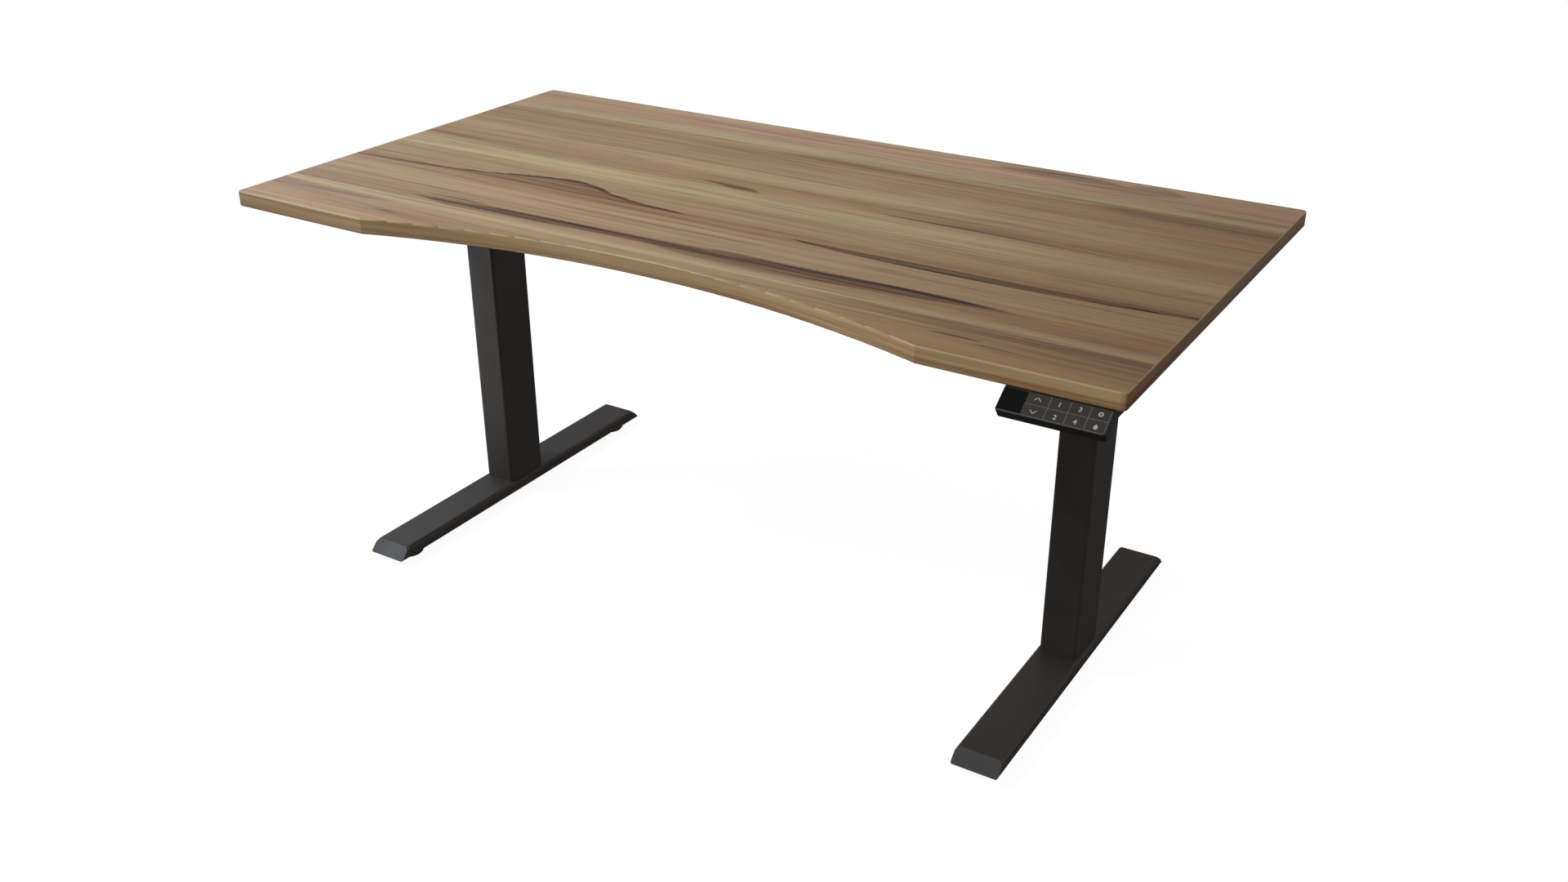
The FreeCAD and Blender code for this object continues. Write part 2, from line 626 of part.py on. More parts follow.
def slider(tube_x, tube_y, bottom_z):
    """Plastic band round the foot of a tube that runs inside the tube outside it."""
    thickness = STAGE_GAP - SLIDE_CLEARANCE
    outer_radius = TUBE_RADIUS - TUBE_WALL
    outer = rounded_bar(
        tube_x + 2 * thickness, tube_y + 2 * thickness, outer_radius, bottom_z, bottom_z + SLIDER_DEPTH
    )
    return outer.cut(rounded_bar(tube_x, tube_y, TUBE_RADIUS, bottom_z, bottom_z + SLIDER_DEPTH))


def column_rod(radius, z0, z1):
    """Cylinder on the right-hand column's axis."""
    return rod(radius, vec(LEG_X, 0, z0), vec(LEG_X, 0, z1))


def make_screw_drive():
    plate = rounded_bar(
        OUTER_TUBE_X - 2 * TUBE_WALL,
        OUTER_TUBE_Y - 2 * TUBE_WALL,
        TUBE_RADIUS - TUBE_WALL,
        FOOT_TOP_Z,
        BASE_PLATE_TOP_Z,
    )
    threads = [
        rod(BOLT_HOLE_RADIUS, vec(x, y, FOOT_TOP_Z - 1), vec(x, y, BASE_PLATE_TOP_Z + 1))
        for x, y in column_bolt_places()
    ]
    tower = column_rod(BASE_TOWER_RADIUS, BASE_PLATE_TOP_Z - 1, BASE_TOWER_TOP_Z)
    tower = plate.fuse(tower).removeSplitter()
    tower = tower.cut(column_rod(BASE_TOWER_BORE, BASE_PLATE_TOP_Z, BASE_TOWER_TOP_Z + 1))
    save_both("base_towers", [cut_all(tower, threads)])

    nut_top = BASE_NUT_TOP_Z
    nut = column_rod(BASE_TOWER_RADIUS, BASE_TOWER_TOP_Z, nut_top)
    nut_bore = column_rod(HOLLOW_SCREW_RADIUS + RUNNING_CLEARANCE, BASE_TOWER_TOP_Z - 1, nut_top + 1)
    save_both("base_nuts", [nut.cut(nut_bore)])

    plate_bottom = MIDDLE_PLATE_Z
    plate = rounded_bar(
        MIDDLE_TUBE_X - 2 * TUBE_WALL,
        MIDDLE_TUBE_Y - 2 * TUBE_WALL,
        TUBE_RADIUS - TUBE_WALL,
        plate_bottom,
        MIDDLE_PLATE_TOP_Z,
    )
    tower = plate.fuse(
        column_rod(MIDDLE_TOWER_RADIUS, plate_bottom, MIDDLE_TOWER_TOP_Z)
    ).removeSplitter()
    tower = tower.cut(column_rod(MIDDLE_TOWER_BORE, plate_bottom - 1, MIDDLE_TOWER_TOP_Z + 1))
    save_pairs("middle_tower", [tower])

    flange_top = MIDDLE_TOWER_TOP_Z + MIDDLE_NUT_FLANGE
    nose_top = flange_top + MIDDLE_NUT_NOSE
    nut = column_rod(MIDDLE_TOWER_RADIUS, MIDDLE_TOWER_TOP_Z, flange_top)
    nut = nut.fuse(column_rod(MIDDLE_NUT_NOSE_RADIUS, flange_top, nose_top)).removeSplitter()
    nut_bore = column_rod(DRIVE_SCREW_RADIUS + RUNNING_CLEARANCE, MIDDLE_TOWER_TOP_Z - 1, nose_top + 1)
    save_pairs("middle_nut", [nut.cut(nut_bore)])

    collar_top = HOLLOW_SCREW_TOP_Z
    screw = column_rod(HOLLOW_SCREW_RADIUS, HOLLOW_SCREW_BOTTOM_Z, collar_top)
    head = column_rod(HOLLOW_COLLAR_RADIUS, collar_top - HOLLOW_COLLAR_HEIGHT, collar_top)
    screw = screw.fuse(head).removeSplitter()
    bore = column_rod(HOLLOW_SCREW_BORE, HOLLOW_SCREW_BOTTOM_Z - 1, collar_top + 1)
    save_pairs("hollow_screw", [screw.cut(bore)])

    save_pairs(
        "drive_screw", [column_rod(DRIVE_SCREW_RADIUS, DRIVE_SCREW_BOTTOM_Z, DRIVE_SCREW_TOP_Z)]
    )


# ---------------------------------------------------------------- head frame
def bracket_bolt_places():
    reach = CRADLE_OUTER_Y - BRACKET_BOLT_INSET
    heights = (CRADLE_FLOOR_Z + BRACKET_BOLT_LIFT, CRADLE_TOP_Z - BRACKET_BOLT_DROP)
    return [(y, z) for y in (-reach, reach) for z in heights]


def sleeve_bolt_places():
    """Bolts that hold each sleeve to the cradle's wall: one past the gearbox and one beside the motor."""
    z = SLEEVE_BOTTOM_Z + SLEEVE_Z / 2
    beyond_gearbox = (LEG_X + GEARBOX_X / 2 + CRADLE_END_X - CRADLE_WALL) / 2
    beside_motor = LEG_X - GEARBOX_X / 2 - MOTOR_LENGTH / 2
    return [(beyond_gearbox, z), (beside_motor, z)]


def make_head_frame():
    inward = LEG_X - CRADLE_INWARD
    cradle = box(inward, CRADLE_END_X, -CRADLE_OUTER_Y, CRADLE_OUTER_Y, CRADLE_BOTTOM_Z, CRADLE_TOP_Z)
    cradle = cradle.cut(
        box(
            inward - 1,
            CRADLE_END_X - CRADLE_WALL,
            -CRADLE_INNER_Y,
            CRADLE_INNER_Y,
            CRADLE_FLOOR_Z,
            CRADLE_TOP_Z + 1,
        )
    )
    holes = [column_rod(DRIVE_SCREW_RADIUS + CRADLE_SCREW_GAP, CRADLE_BOTTOM_Z - 1, CRADLE_FLOOR_Z + 1)]
    bolts = []
    for y, z in bracket_bolt_places():
        face = vec(BRACKET_X0 + BRACKET_WALL, y, z)
        holes.append(bolt_hole(face, vec(-1, 0, 0), BRACKET_BOLT_GRIP))
        bolts.append(bolt(face, vec(-1, 0, 0), BRACKET_BOLT_GRIP))
    for x, z in sleeve_bolt_places():
        for sign in (-1, 1):
            face = vec(x, sign * CRADLE_INNER_Y, z)
            holes.append(bolt_hole(face, vec(0, sign, 0), SLEEVE_BOLT_GRIP))
            bolts.append(bolt(face, vec(0, sign, 0), SLEEVE_BOLT_GRIP))
    save_pairs("head_cradle", [cut_all(cradle, holes)])

    sleeves = []
    for sign in (-1, 1):
        y = sign * SLEEVE_CENTRE_Y
        sleeve = crossbar_tube(SLEEVE_INNER_END_X, SLEEVE_OUTER_END_X, y, 0.0)
        lock_face = vec(RAIL_LOCK_X, y, SLEEVE_BOTTOM_Z)
        sleeve = cut_all(sleeve, holes + [bolt_hole(lock_face, vec(0, 0, 1), RAIL_BOLT_GRIP)])
        sleeves.append(sleeve)
        bolts.append(bolt(lock_face, vec(0, 0, 1), RAIL_BOLT_GRIP))
    save_both("crossbar_sleeves", sleeves)
    save_both("frame_bolts", bolts)

    rails = []
    for sign in (-1, 1):
        y = sign * SLEEVE_CENTRE_Y
        rail = crossbar_tube(-RAIL_HALF_LENGTH, RAIL_HALF_LENGTH, y, SLEEVE_WALL + RAIL_CLEARANCE)
        for x in (-RAIL_LOCK_X, RAIL_LOCK_X):
            rail = rail.cut(bolt_hole(vec(x, y, SLEEVE_BOTTOM_Z), vec(0, 0, 1), RAIL_BOLT_GRIP))
        rails.append(rail)
    save("crossbar_rails", *rails)


def gearbox_screw_places():
    reach = GEARBOX_X / 2 - GEARBOX_WALL
    front = GEARBOX_Y0 + GEARBOX_WALL
    back = GEARBOX_Y1 - GEARBOX_WALL
    return [(LEG_X - reach, front), (LEG_X + reach, front), (LEG_X - reach, back), (LEG_X + reach, back)]


def motor_rod(radius, x0, x1):
    """Cylinder on the right-hand motor's axis."""
    return rod(radius, vec(x0, MOTOR_AXIS_Y, MOTOR_AXIS_Z), vec(x1, MOTOR_AXIS_Y, MOTOR_AXIS_Z))


def make_gearbox():
    x0 = LEG_X - GEARBOX_X / 2
    x1 = LEG_X + GEARBOX_X / 2
    cover_top = GEARBOX_TOP_Z + GEARBOX_COVER
    outline = rounded_outline(x0, x1, GEARBOX_Y0, GEARBOX_Y1, CRADLE_FLOOR_Z, [GEARBOX_FILLET] * 4)
    whole = outline.extrude(vec(0, 0, cover_top - CRADLE_FLOOR_Z))
    threads = [
        rod(
            GEARBOX_SCREW_RADIUS + RUNNING_CLEARANCE,
            vec(x, y, GEARBOX_TOP_Z - GEARBOX_SCREW_REACH - 1),
            vec(x, y, cover_top + 1),
        )
        for x, y in gearbox_screw_places()
    ]
    whole = cut_all(whole, threads)
    above = box(x0 - 1, x1 + 1, GEARBOX_Y0 - 1, GEARBOX_Y1 + 1, GEARBOX_TOP_Z, cover_top + 1)
    save_both("gearbox_covers", [whole.common(above)])

    wheel_z0 = MOTOR_AXIS_Z - WHEEL_HEIGHT / 2
    wheel_z1 = MOTOR_AXIS_Z + WHEEL_HEIGHT / 2
    cavity_z0 = wheel_z0 - WHEEL_CLEARANCE
    screw_hole = DRIVE_SCREW_RADIUS + RUNNING_CLEARANCE
    housing = cut_all(
        whole,
        [
            above,
            column_rod(screw_hole, CRADLE_FLOOR_Z - 1, cavity_z0 + 1),
            column_rod(WHEEL_CAVITY_RADIUS, cavity_z0, GEARBOX_TOP_Z + 1),
            motor_rod(WORM_CAVITY_RADIUS, x0 - 1, x1 - GEARBOX_WALL),
        ],
    )
    save_pairs("gearbox_housing", [housing])

    wheel = prism(wheel_outline(wheel_z0), vec(0, 0, WHEEL_HEIGHT))
    seat = DRIVE_SCREW_RADIUS + RUNNING_CLEARANCE / 2
    wheel = wheel.cut(column_rod(seat, wheel_z0 - 1, wheel_z1 + 1))
    save_pairs("worm_wheel", [wheel])

    worm = motor_rod(WORM_RADIUS, LEG_X - WORM_LENGTH / 2, LEG_X + WORM_LENGTH / 2)
    shaft_end = x1 - GEARBOX_WALL - MESH_CLEARANCE
    shaft = motor_rod(WORM_SHAFT_RADIUS, x0 - WORM_SHAFT_GRIP, shaft_end)
    save_pairs("worm_shaft", [worm.fuse(shaft).removeSplitter()])

    back_x = x0 - MOTOR_LENGTH
    can = motor_rod(MOTOR_RADIUS, x0, back_x)
    rim = [e for e in can.Edges if e.BoundBox.XMax < back_x + 1 and e.BoundBox.XMin > back_x - 1]
    can = can.makeFillet(MOTOR_RIM_RADIUS, rim)
    cap = motor_rod(MOTOR_CAP_RADIUS, back_x + 1, back_x - MOTOR_CAP_LENGTH)
    socket_end = x0 - WORM_SHAFT_GRIP - MESH_CLEARANCE
    socket = motor_rod(WORM_SHAFT_RADIUS + RUNNING_CLEARANCE, x0 + 1, socket_end)
    save_pairs("motor", [can.fuse(cap).removeSplitter().cut(socket)])

    screws = []
    head_top = cover_top + GEARBOX_SCREW_HEAD_HEIGHT
    for x, y in gearbox_screw_places():
        head = rod(GEARBOX_SCREW_HEAD_RADIUS, vec(x, y, cover_top), vec(x, y, head_top))
        foot = vec(x, y, GEARBOX_TOP_Z - GEARBOX_SCREW_REACH)
        screws.append(head.fuse(rod(GEARBOX_SCREW_RADIUS, foot, vec(x, y, cover_top))).removeSplitter())
    save_both("gearbox_screws", screws)


def wheel_outline(z):
    """Outline of the worm wheel: straight-sided teeth, WHEEL_TOOTH deep, round the drive screw's axis."""
    points = []
    root = WHEEL_RADIUS - WHEEL_TOOTH
    quarter = math.pi / 2 / WHEEL_TEETH
    for tooth in range(WHEEL_TEETH):
        for step, radius in enumerate((root, WHEEL_RADIUS, WHEEL_RADIUS, root)):
            angle = quarter * (4 * tooth + step)
            points.append(vec(LEG_X + radius * math.cos(angle), radius * math.sin(angle), z))
    return points


def crossbar_tube(x0, x1, y, inset):
    """Rectangular tube along X centred on y; inset makes the smaller rail that slides in the sleeves."""
    outer_y = SLEEVE_Y / 2 - inset
    z0 = SLEEVE_BOTTOM_Z + inset
    z1 = SLEEVE_TOP_Z - inset
    wall = SLEEVE_WALL
    radii = [SLEEVE_RADIUS] * 4
    inner_radii = [SLEEVE_RADIUS - wall] * 4
    outer = rounded_outline(y - outer_y, y + outer_y, z0, z1, 0.0, radii)
    inner = rounded_outline(y - outer_y + wall, y + outer_y - wall, z0 + wall, z1 - wall, 0.0, inner_radii)
    tube = outer.extrude(vec(0, 0, x1 - x0)).cut(inner.extrude(vec(0, 0, x1 - x0)))
    placement = FreeCAD.Matrix(0, 0, 1, x0, 1, 0, 0, 0, 0, 1, 0, 0, 0, 0, 0, 1)
    return tube.transformGeometry(placement)


def make_side_brackets():
    top = TOP_UNDERSIDE_Z
    half = BRACKET_LENGTH / 2
    shoulder = BRACKET_CENTRE_LENGTH / 2
    wall = BRACKET_WALL

    slope = math.atan2(BRACKET_CENTRE_DEPTH - BRACKET_END_DEPTH, half - shoulder)

    def channel_outline(inset):
        slope_gain = inset * math.tan(slope / 2)
        return [
            vec(BRACKET_X0, -half + inset, top - inset),
            vec(BRACKET_X0, -half + inset, top - BRACKET_END_DEPTH + inset),
            vec(BRACKET_X0, -shoulder + slope_gain, top - BRACKET_CENTRE_DEPTH + inset),
            vec(BRACKET_X0, shoulder - slope_gain, top - BRACKET_CENTRE_DEPTH + inset),
            vec(BRACKET_X0, half - inset, top - BRACKET_END_DEPTH + inset),
            vec(BRACKET_X0, half - inset, top - inset),
        ]

    web = prism(channel_outline(0.0), vec(wall, 0, 0))
    rim = prism(channel_outline(0.0), vec(BRACKET_LIP, 0, 0)).cut(
        prism(channel_outline(wall), vec(BRACKET_LIP, 0, 0))
    )
    flange = box(BRACKET_X0, BRACKET_X0 + BRACKET_FLANGE, -half, half, top - wall, top)
    bracket = web.fuse([rim, flange]).removeSplitter()
    holes = [
        bolt_hole(vec(BRACKET_X0 + wall, y, z), vec(-1, 0, 0), BRACKET_BOLT_GRIP)
        for y, z in bracket_bolt_places()
    ]
    for y in bracket_screw_rows():
        foot = vec(BRACKET_SCREW_X, y, top - wall - 1)
        holes.append(rod(SCREW_CLEARANCE_RADIUS, foot, vec(BRACKET_SCREW_X, y, top + 1)))
    save_pairs("side_bracket", [cut_all(bracket, holes)])


def make_wood_screws():
    screws = []
    for x, y, head_z in wood_screw_places():
        head = rod(WOOD_SCREW_HEAD_RADIUS, vec(x, y, head_z - WOOD_SCREW_HEAD_HEIGHT), vec(x, y, head_z))
        shank = rod(WOOD_SCREW_RADIUS, vec(x, y, head_z), vec(x, y, head_z + WOOD_SCREW_DEPTH))
        screws.append(head.fuse(shank).removeSplitter())
    save("wood_screws", *screws)


# ---------------------------------------------------------------- controller
def make_controller():
    half = CONTROLLER_X / 2
    top = TOP_UNDERSIDE_Z
    lid_bottom = top - CONTROLLER_LID
    bottom = CONTROLLER_BOTTOM_Z
    lid = box(-half - CONTROLLER_EAR, half + CONTROLLER_EAR, CONTROLLER_Y0, CONTROLLER_Y1, lid_bottom, top)
    ears = [
        rod(SCREW_CLEARANCE_RADIUS, vec(x, y, lid_bottom - 1), vec(x, y, top + 1))
        for x in (-CONTROLLER_EAR_X, CONTROLLER_EAR_X)
        for y in (CONTROLLER_Y0 + CONTROLLER_EAR, CONTROLLER_Y1 - CONTROLLER_EAR)
    ]
    save("controller_lid", cut_all(lid, ears))

    case = box(-half, half, CONTROLLER_Y0, CONTROLLER_Y1, bottom, lid_bottom)
    low_edges = [e for e in case.Edges if e.BoundBox.ZMax < bottom + 1e-6]
    upright = [e for e in case.Edges if e.BoundBox.ZMax - e.BoundBox.ZMin > 1]
    case = case.makeFillet(CONTROLLER_FILLET, low_edges + upright)
    wall = CONTROLLER_WALL
    inner_y0 = CONTROLLER_Y0 + wall
    inner_y1 = CONTROLLER_Y1 - wall
    case = case.cut(box(-half + wall, half - wall, inner_y0, inner_y1, bottom + wall, lid_bottom + 1))
    blocks = []
    sockets = [(MAINS_SOCKET_X, MAINS_SOCKET_WIDTH, MAINS_SOCKET_HEIGHT, MAINS_SOCKET_RIM)]
    for port in range(PORT_COUNT):
        x = -half + PORT_INSET + port * PORT_SPACING
        sockets.append((x, PORT_WIDTH, PORT_HEIGHT, PORT_RIM))
    for x, width, height, rim in sockets:
        z = bottom + SOCKET_LIFT
        block = box(x, x + width, CONTROLLER_Y1 - SOCKET_BLOCK_DEPTH, CONTROLLER_Y1, z, z + height)
        case = case.cut(block)
        recess_y = CONTROLLER_Y1 - SOCKET_RECESS
        mouth = box(x + rim, x + width - rim, recess_y, CONTROLLER_Y1 + 1, z + rim, z + height - rim)
        blocks.append(block.cut(mouth))
    save("controller_case", case)

    pin_z = bottom + SOCKET_LIFT + MAINS_SOCKET_HEIGHT / 2
    middle_x = MAINS_SOCKET_X + MAINS_SOCKET_WIDTH / 2
    pin_y0 = CONTROLLER_Y1 - SOCKET_RECESS - 1
    pin_y1 = CONTROLLER_Y1 - MAINS_PIN_SETBACK
    pins = [
        rod(MAINS_PIN_RADIUS, vec(middle_x + x, pin_y0, pin_z), vec(middle_x + x, pin_y1, pin_z))
        for x in (-MAINS_PIN_REACH, MAINS_PIN_REACH)
    ]
    blocks[0] = blocks[0].fuse(pins).removeSplitter()
    save("controller_sockets", *blocks)

    board_z = bottom + wall + CONTROLLER_BOARD_GAP
    board = box(
        -half + wall,
        half - wall,
        CONTROLLER_Y0 + wall,
        CONTROLLER_Y1 - SOCKET_BLOCK_DEPTH - MESH_CLEARANCE,
        board_z,
        board_z + BOARD_THICKNESS,
    )
    board_top = board_z + BOARD_THICKNESS
    parts_y = CONTROLLER_Y0 + BOARD_PARTS_SETBACK
    parts = []
    for x, size, height in (
        (TRANSFORMER_X, TRANSFORMER_SIZE / 2, TRANSFORMER_HEIGHT),
        (HEAT_SINK_X, HEAT_SINK_SIZE / 2, HEAT_SINK_HEIGHT),
    ):
        parts.append(box(x - size, x + size, parts_y - size, parts_y + size, board_top, board_top + height))
    for x in CAPACITOR_PLACES:
        foot = vec(x, parts_y, board_top)
        parts.append(rod(CAPACITOR_RADIUS, foot, foot + vec(0, 0, CAPACITOR_HEIGHT)))
    save("controller_board", board.fuse(parts).removeSplitter())


# ---------------------------------------------------------------- handset
def slope_point(along, depth):
    """Point (y, z) on the handset's sloping face: along it from the desktop, and depth below it."""
    tilt = math.radians(HANDSET_TILT)
    y = HANDSET_FRONT_Y - along * math.cos(tilt) + depth * math.sin(tilt)
    z = TOP_UNDERSIDE_Z - along * math.sin(tilt) - depth * math.cos(tilt)
    return y, z


def handset_prism(points, inset):
    """Extrudes a (y, z) outline across the handset, moved in by inset at both ends."""
    x0 = HANDSET_X0 + inset
    return prism([vec(x0, y, z) for y, z in points], vec(HANDSET_WIDTH - 2 * inset, 0, 0))


def slope_slab(x0, x1, along0, along1, depth0, depth1):
    """Flat slab parallel to the sloping face."""
    corners = [(along0, depth0), (along1, depth0), (along1, depth1), (along0, depth1)]
    points = [vec(x0, *slope_point(along, depth)) for along, depth in corners]
    return prism(points, vec(x1 - x0, 0, 0))


def make_handset():
    top = TOP_UNDERSIDE_Z
    tilt = math.radians(HANDSET_TILT)
    wall = HANDSET_WALL

    def bend_point(depth):
        """Where the lower face at this depth of the slope meets the lower face of the flat part."""
        along = (depth * (1 - math.cos(tilt))) / math.sin(tilt)
        return slope_point(along, depth)

    def underside(depth):
        return [slope_point(HANDSET_FACE, depth), bend_point(depth), (HANDSET_BACK_Y, top - depth)]

    outline = [(HANDSET_FRONT_Y, top), slope_point(HANDSET_FACE, 0.0)]
    outline += underside(HANDSET_THICKNESS) + [(HANDSET_BACK_Y, top)]
    shell = handset_prism(outline, 0.0)
    lip = [
        e
        for e in shell.Edges
        if e.BoundBox.YMax < HANDSET_FRONT_Y - 10 and e.BoundBox.XLength < 1
    ]
    shell = shell.makeFillet(HANDSET_CORNER_RADIUS, lip)
    cavity = [
        slope_point(HANDSET_FACE - wall, wall),
        slope_point(HANDSET_FACE - wall, HANDSET_THICKNESS),
        bend_point(HANDSET_THICKNESS),
        (HANDSET_BACK_Y - wall, top - HANDSET_THICKNESS),
        (HANDSET_BACK_Y - wall, top - wall),
        bend_point(wall),
    ]
    shell = shell.cut(handset_prism(cavity, wall))
    ears = []
    for x in (HANDSET_X0 + HANDSET_EAR_INSET, HANDSET_X0 + HANDSET_WIDTH - HANDSET_EAR_INSET):
        ear_y1 = HANDSET_BACK_Y + HANDSET_EAR
        ear_bottom = top - HANDSET_EAR_THICKNESS
        half = HANDSET_EAR_WIDTH / 2
        ear = box(x - half, x + half, HANDSET_BACK_Y - HANDSET_EAR_OVERLAP, ear_y1, ear_bottom, top)
        hole = rod(
            SCREW_CLEARANCE_RADIUS, vec(x, HANDSET_EAR_Y, ear_bottom - 1), vec(x, HANDSET_EAR_Y, top + 1)
        )
        ears.append(ear.cut(hole))
    shell = shell.fuse(ears).removeSplitter()

    face_x0 = HANDSET_X0 + FASCIA_MARGIN
    face_x1 = HANDSET_X0 + HANDSET_WIDTH - FASCIA_MARGIN
    along0 = FASCIA_MARGIN
    along1 = HANDSET_FACE - FASCIA_MARGIN
    display_x1 = face_x0 + DISPLAY_WIDTH
    display = slope_slab(face_x0, display_x1, along0, along1, 0.0, FASCIA_THICKNESS)
    fascia = slope_slab(display_x1, face_x1, along0, along1, 0.0, FASCIA_THICKNESS)
    corner_radius = HANDSET_CORNER_RADIUS - FASCIA_MARGIN
    corner = [e for e in through_edges(fascia) if e.BoundBox.XMin > face_x1 - 1]
    fascia = fascia.makeFillet(corner_radius, corner)
    corner = [e for e in through_edges(display) if e.BoundBox.XMax < face_x0 + 1]
    display = display.makeFillet(corner_radius, corner)
    save("handset_shell", shell.cut(fascia).cut(display))
    save("handset_fascia", fascia)
    save("handset_display", display)

    cover = cavity_cover(underside, wall)
    save("handset_back_cover", cover)
    board = slope_slab(
        HANDSET_X0 + wall,
        HANDSET_X0 + HANDSET_WIDTH - wall,
        BOARD_INSET,
        HANDSET_FACE - wall - FASCIA_MARGIN,
        BOARD_DEPTH,
        BOARD_DEPTH + BOARD_THICKNESS,
    )
    save("handset_board", board)


def through_edges(slab):
    """Edges of a thin slab that run through its thickness."""
    return [edge for edge in slab.Edges if abs(edge.Length - FASCIA_THICKNESS) < 1e-6]


def cavity_cover(underside, wall):
    """Cover that closes the handset's underside, between its side walls."""
    top = TOP_UNDERSIDE_Z
    low = underside(HANDSET_THICKNESS)
    high = underside(HANDSET_THICKNESS - wall)
    points = [
        slope_point(HANDSET_FACE - wall, HANDSET_THICKNESS),
        low[1],
        (HANDSET_BACK_Y - wall, top - HANDSET_THICKNESS),
        (HANDSET_BACK_Y - wall, top - HANDSET_THICKNESS + wall),
        high[1],
        slope_point(HANDSET_FACE - wall, HANDSET_THICKNESS - wall),
    ]
    return handset_prism(points, wall)


# ---------------------------------------------------------------- build
os.makedirs("parts", exist_ok=True)
make_desktop()
make_feet()
make_glides()
make_columns()
make_screw_drive()
make_head_frame()
make_gearbox()
make_side_brackets()
make_wood_screws()
make_controller()
make_handset()
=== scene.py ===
"""Looks of a height adjustable standing desk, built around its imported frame. Metres, +Z up, +Y to the back."""

import logging
import math
from dataclasses import dataclass, field
from enum import Enum
from typing import Sequence

import bmesh
import bpy
from mathutils import Matrix, Vector


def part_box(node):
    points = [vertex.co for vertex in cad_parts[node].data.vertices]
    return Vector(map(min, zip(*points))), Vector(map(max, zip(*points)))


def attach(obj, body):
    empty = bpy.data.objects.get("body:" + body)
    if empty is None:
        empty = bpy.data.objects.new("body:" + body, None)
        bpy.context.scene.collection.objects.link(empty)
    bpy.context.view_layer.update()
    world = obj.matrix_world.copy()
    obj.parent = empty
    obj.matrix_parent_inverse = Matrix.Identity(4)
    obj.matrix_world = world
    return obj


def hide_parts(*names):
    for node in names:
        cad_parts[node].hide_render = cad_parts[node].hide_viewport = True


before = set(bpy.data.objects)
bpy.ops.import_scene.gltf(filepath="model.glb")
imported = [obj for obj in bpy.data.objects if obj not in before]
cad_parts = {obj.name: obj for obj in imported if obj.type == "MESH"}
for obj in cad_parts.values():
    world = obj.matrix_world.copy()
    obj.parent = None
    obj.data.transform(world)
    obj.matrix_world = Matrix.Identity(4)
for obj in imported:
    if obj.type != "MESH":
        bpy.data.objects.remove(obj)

Tree = bpy.types.NodeTree
Socket = bpy.types.NodeSocket
Mesh = bmesh.types.BMesh
Inputs = dict[int | str, object]
Point = tuple[float, float]
Triple = tuple[float, float, float]

LOG = logging.getLogger("standing_desk")
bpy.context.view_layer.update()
MM = 0.001
SIDES = ("left", "right")
# Points nearer than this, in metres, are one point, and edges shorter than the second are dropped.
WELD, SLIVER = 1e-6, 1e-7
# Edges flatter than this are shaded smooth.
SMOOTH_ANGLE = math.radians(35.0)
# Output of a Texture Coordinate node that gives Object coordinates.
OBJECT = 3
# Nearly all values of a noise texture lie between these two.
FAINT, FULL = 0.3, 0.7
# Settings of the nodes that mix colours (factor, first and second colour are sockets 0, 6 and 7) and of the
# Map Range nodes (value, its limits and the limits it is given are sockets 0 to 4) that ease in and out.
BLEND = {"output": 2, "data_type": "RGBA"}
EASED = {"interpolation_type": "SMOOTHSTEP"}


# ------------------------------------------------------------------ nodes and colours
def linear(code: str) -> tuple[float, float, float, float]:
    """Turns a colour into linear light.

    Args:
        code: sRGB colour as #RRGGBB.

    Returns:
        Linear red, green, blue and an alpha of 1.
    """
    channels = [int(code[i : i + 2], 16) / 255 for i in (1, 3, 5)]
    return (*[c / 12.92 if c <= 0.04045 else ((c + 0.055) / 1.055) ** 2.4 for c in channels], 1.0)


def add_node(
    tree: Tree, kind: str, inputs: Inputs | None = None, output: int = 0, **settings: object
) -> Socket:
    """Adds a node with its settings and links.

    Args:
        tree: The node tree to add to.
        kind: The node's type name.
        inputs: Socket names or indices, each with a value or with the socket that feeds it.
        output: Index of the output to return.
        **settings: Properties of the node.

    Returns:
        The chosen output, or the node's first input where it has no outputs.
    """
    node = tree.nodes.new(kind)
    for name, value in settings.items():
        setattr(node, name, value)
    for key, value in (inputs or {}).items():
        if isinstance(value, Socket):
            tree.links.new(value, node.inputs[key])
        else:
            node.inputs[key].default_value = value
    return node.outputs[output] if node.outputs else node.inputs[0]


# ------------------------------------------------------------------ finishes
@dataclass(frozen=True)
class Finish:
    """A named surface finish."""

    name: str

    def shade(self, tree: Tree) -> Socket:
        """Builds the finish's nodes.

        Args:
            tree: The material's node tree.

        Returns:
            The shader.
        """
        raise NotImplementedError

    def material(self) -> bpy.types.Material:
        """Makes the material once.

        Returns:
            The material of this finish.
        """
        found = bpy.data.materials.get(self.name)
        if found:
            return found
        material = bpy.data.materials.new(self.name)
        material.use_nodes = True
        material.node_tree.nodes.clear()
        shader = self.shade(material.node_tree)
        add_node(material.node_tree, "ShaderNodeOutputMaterial", {"Surface": shader})
        return material


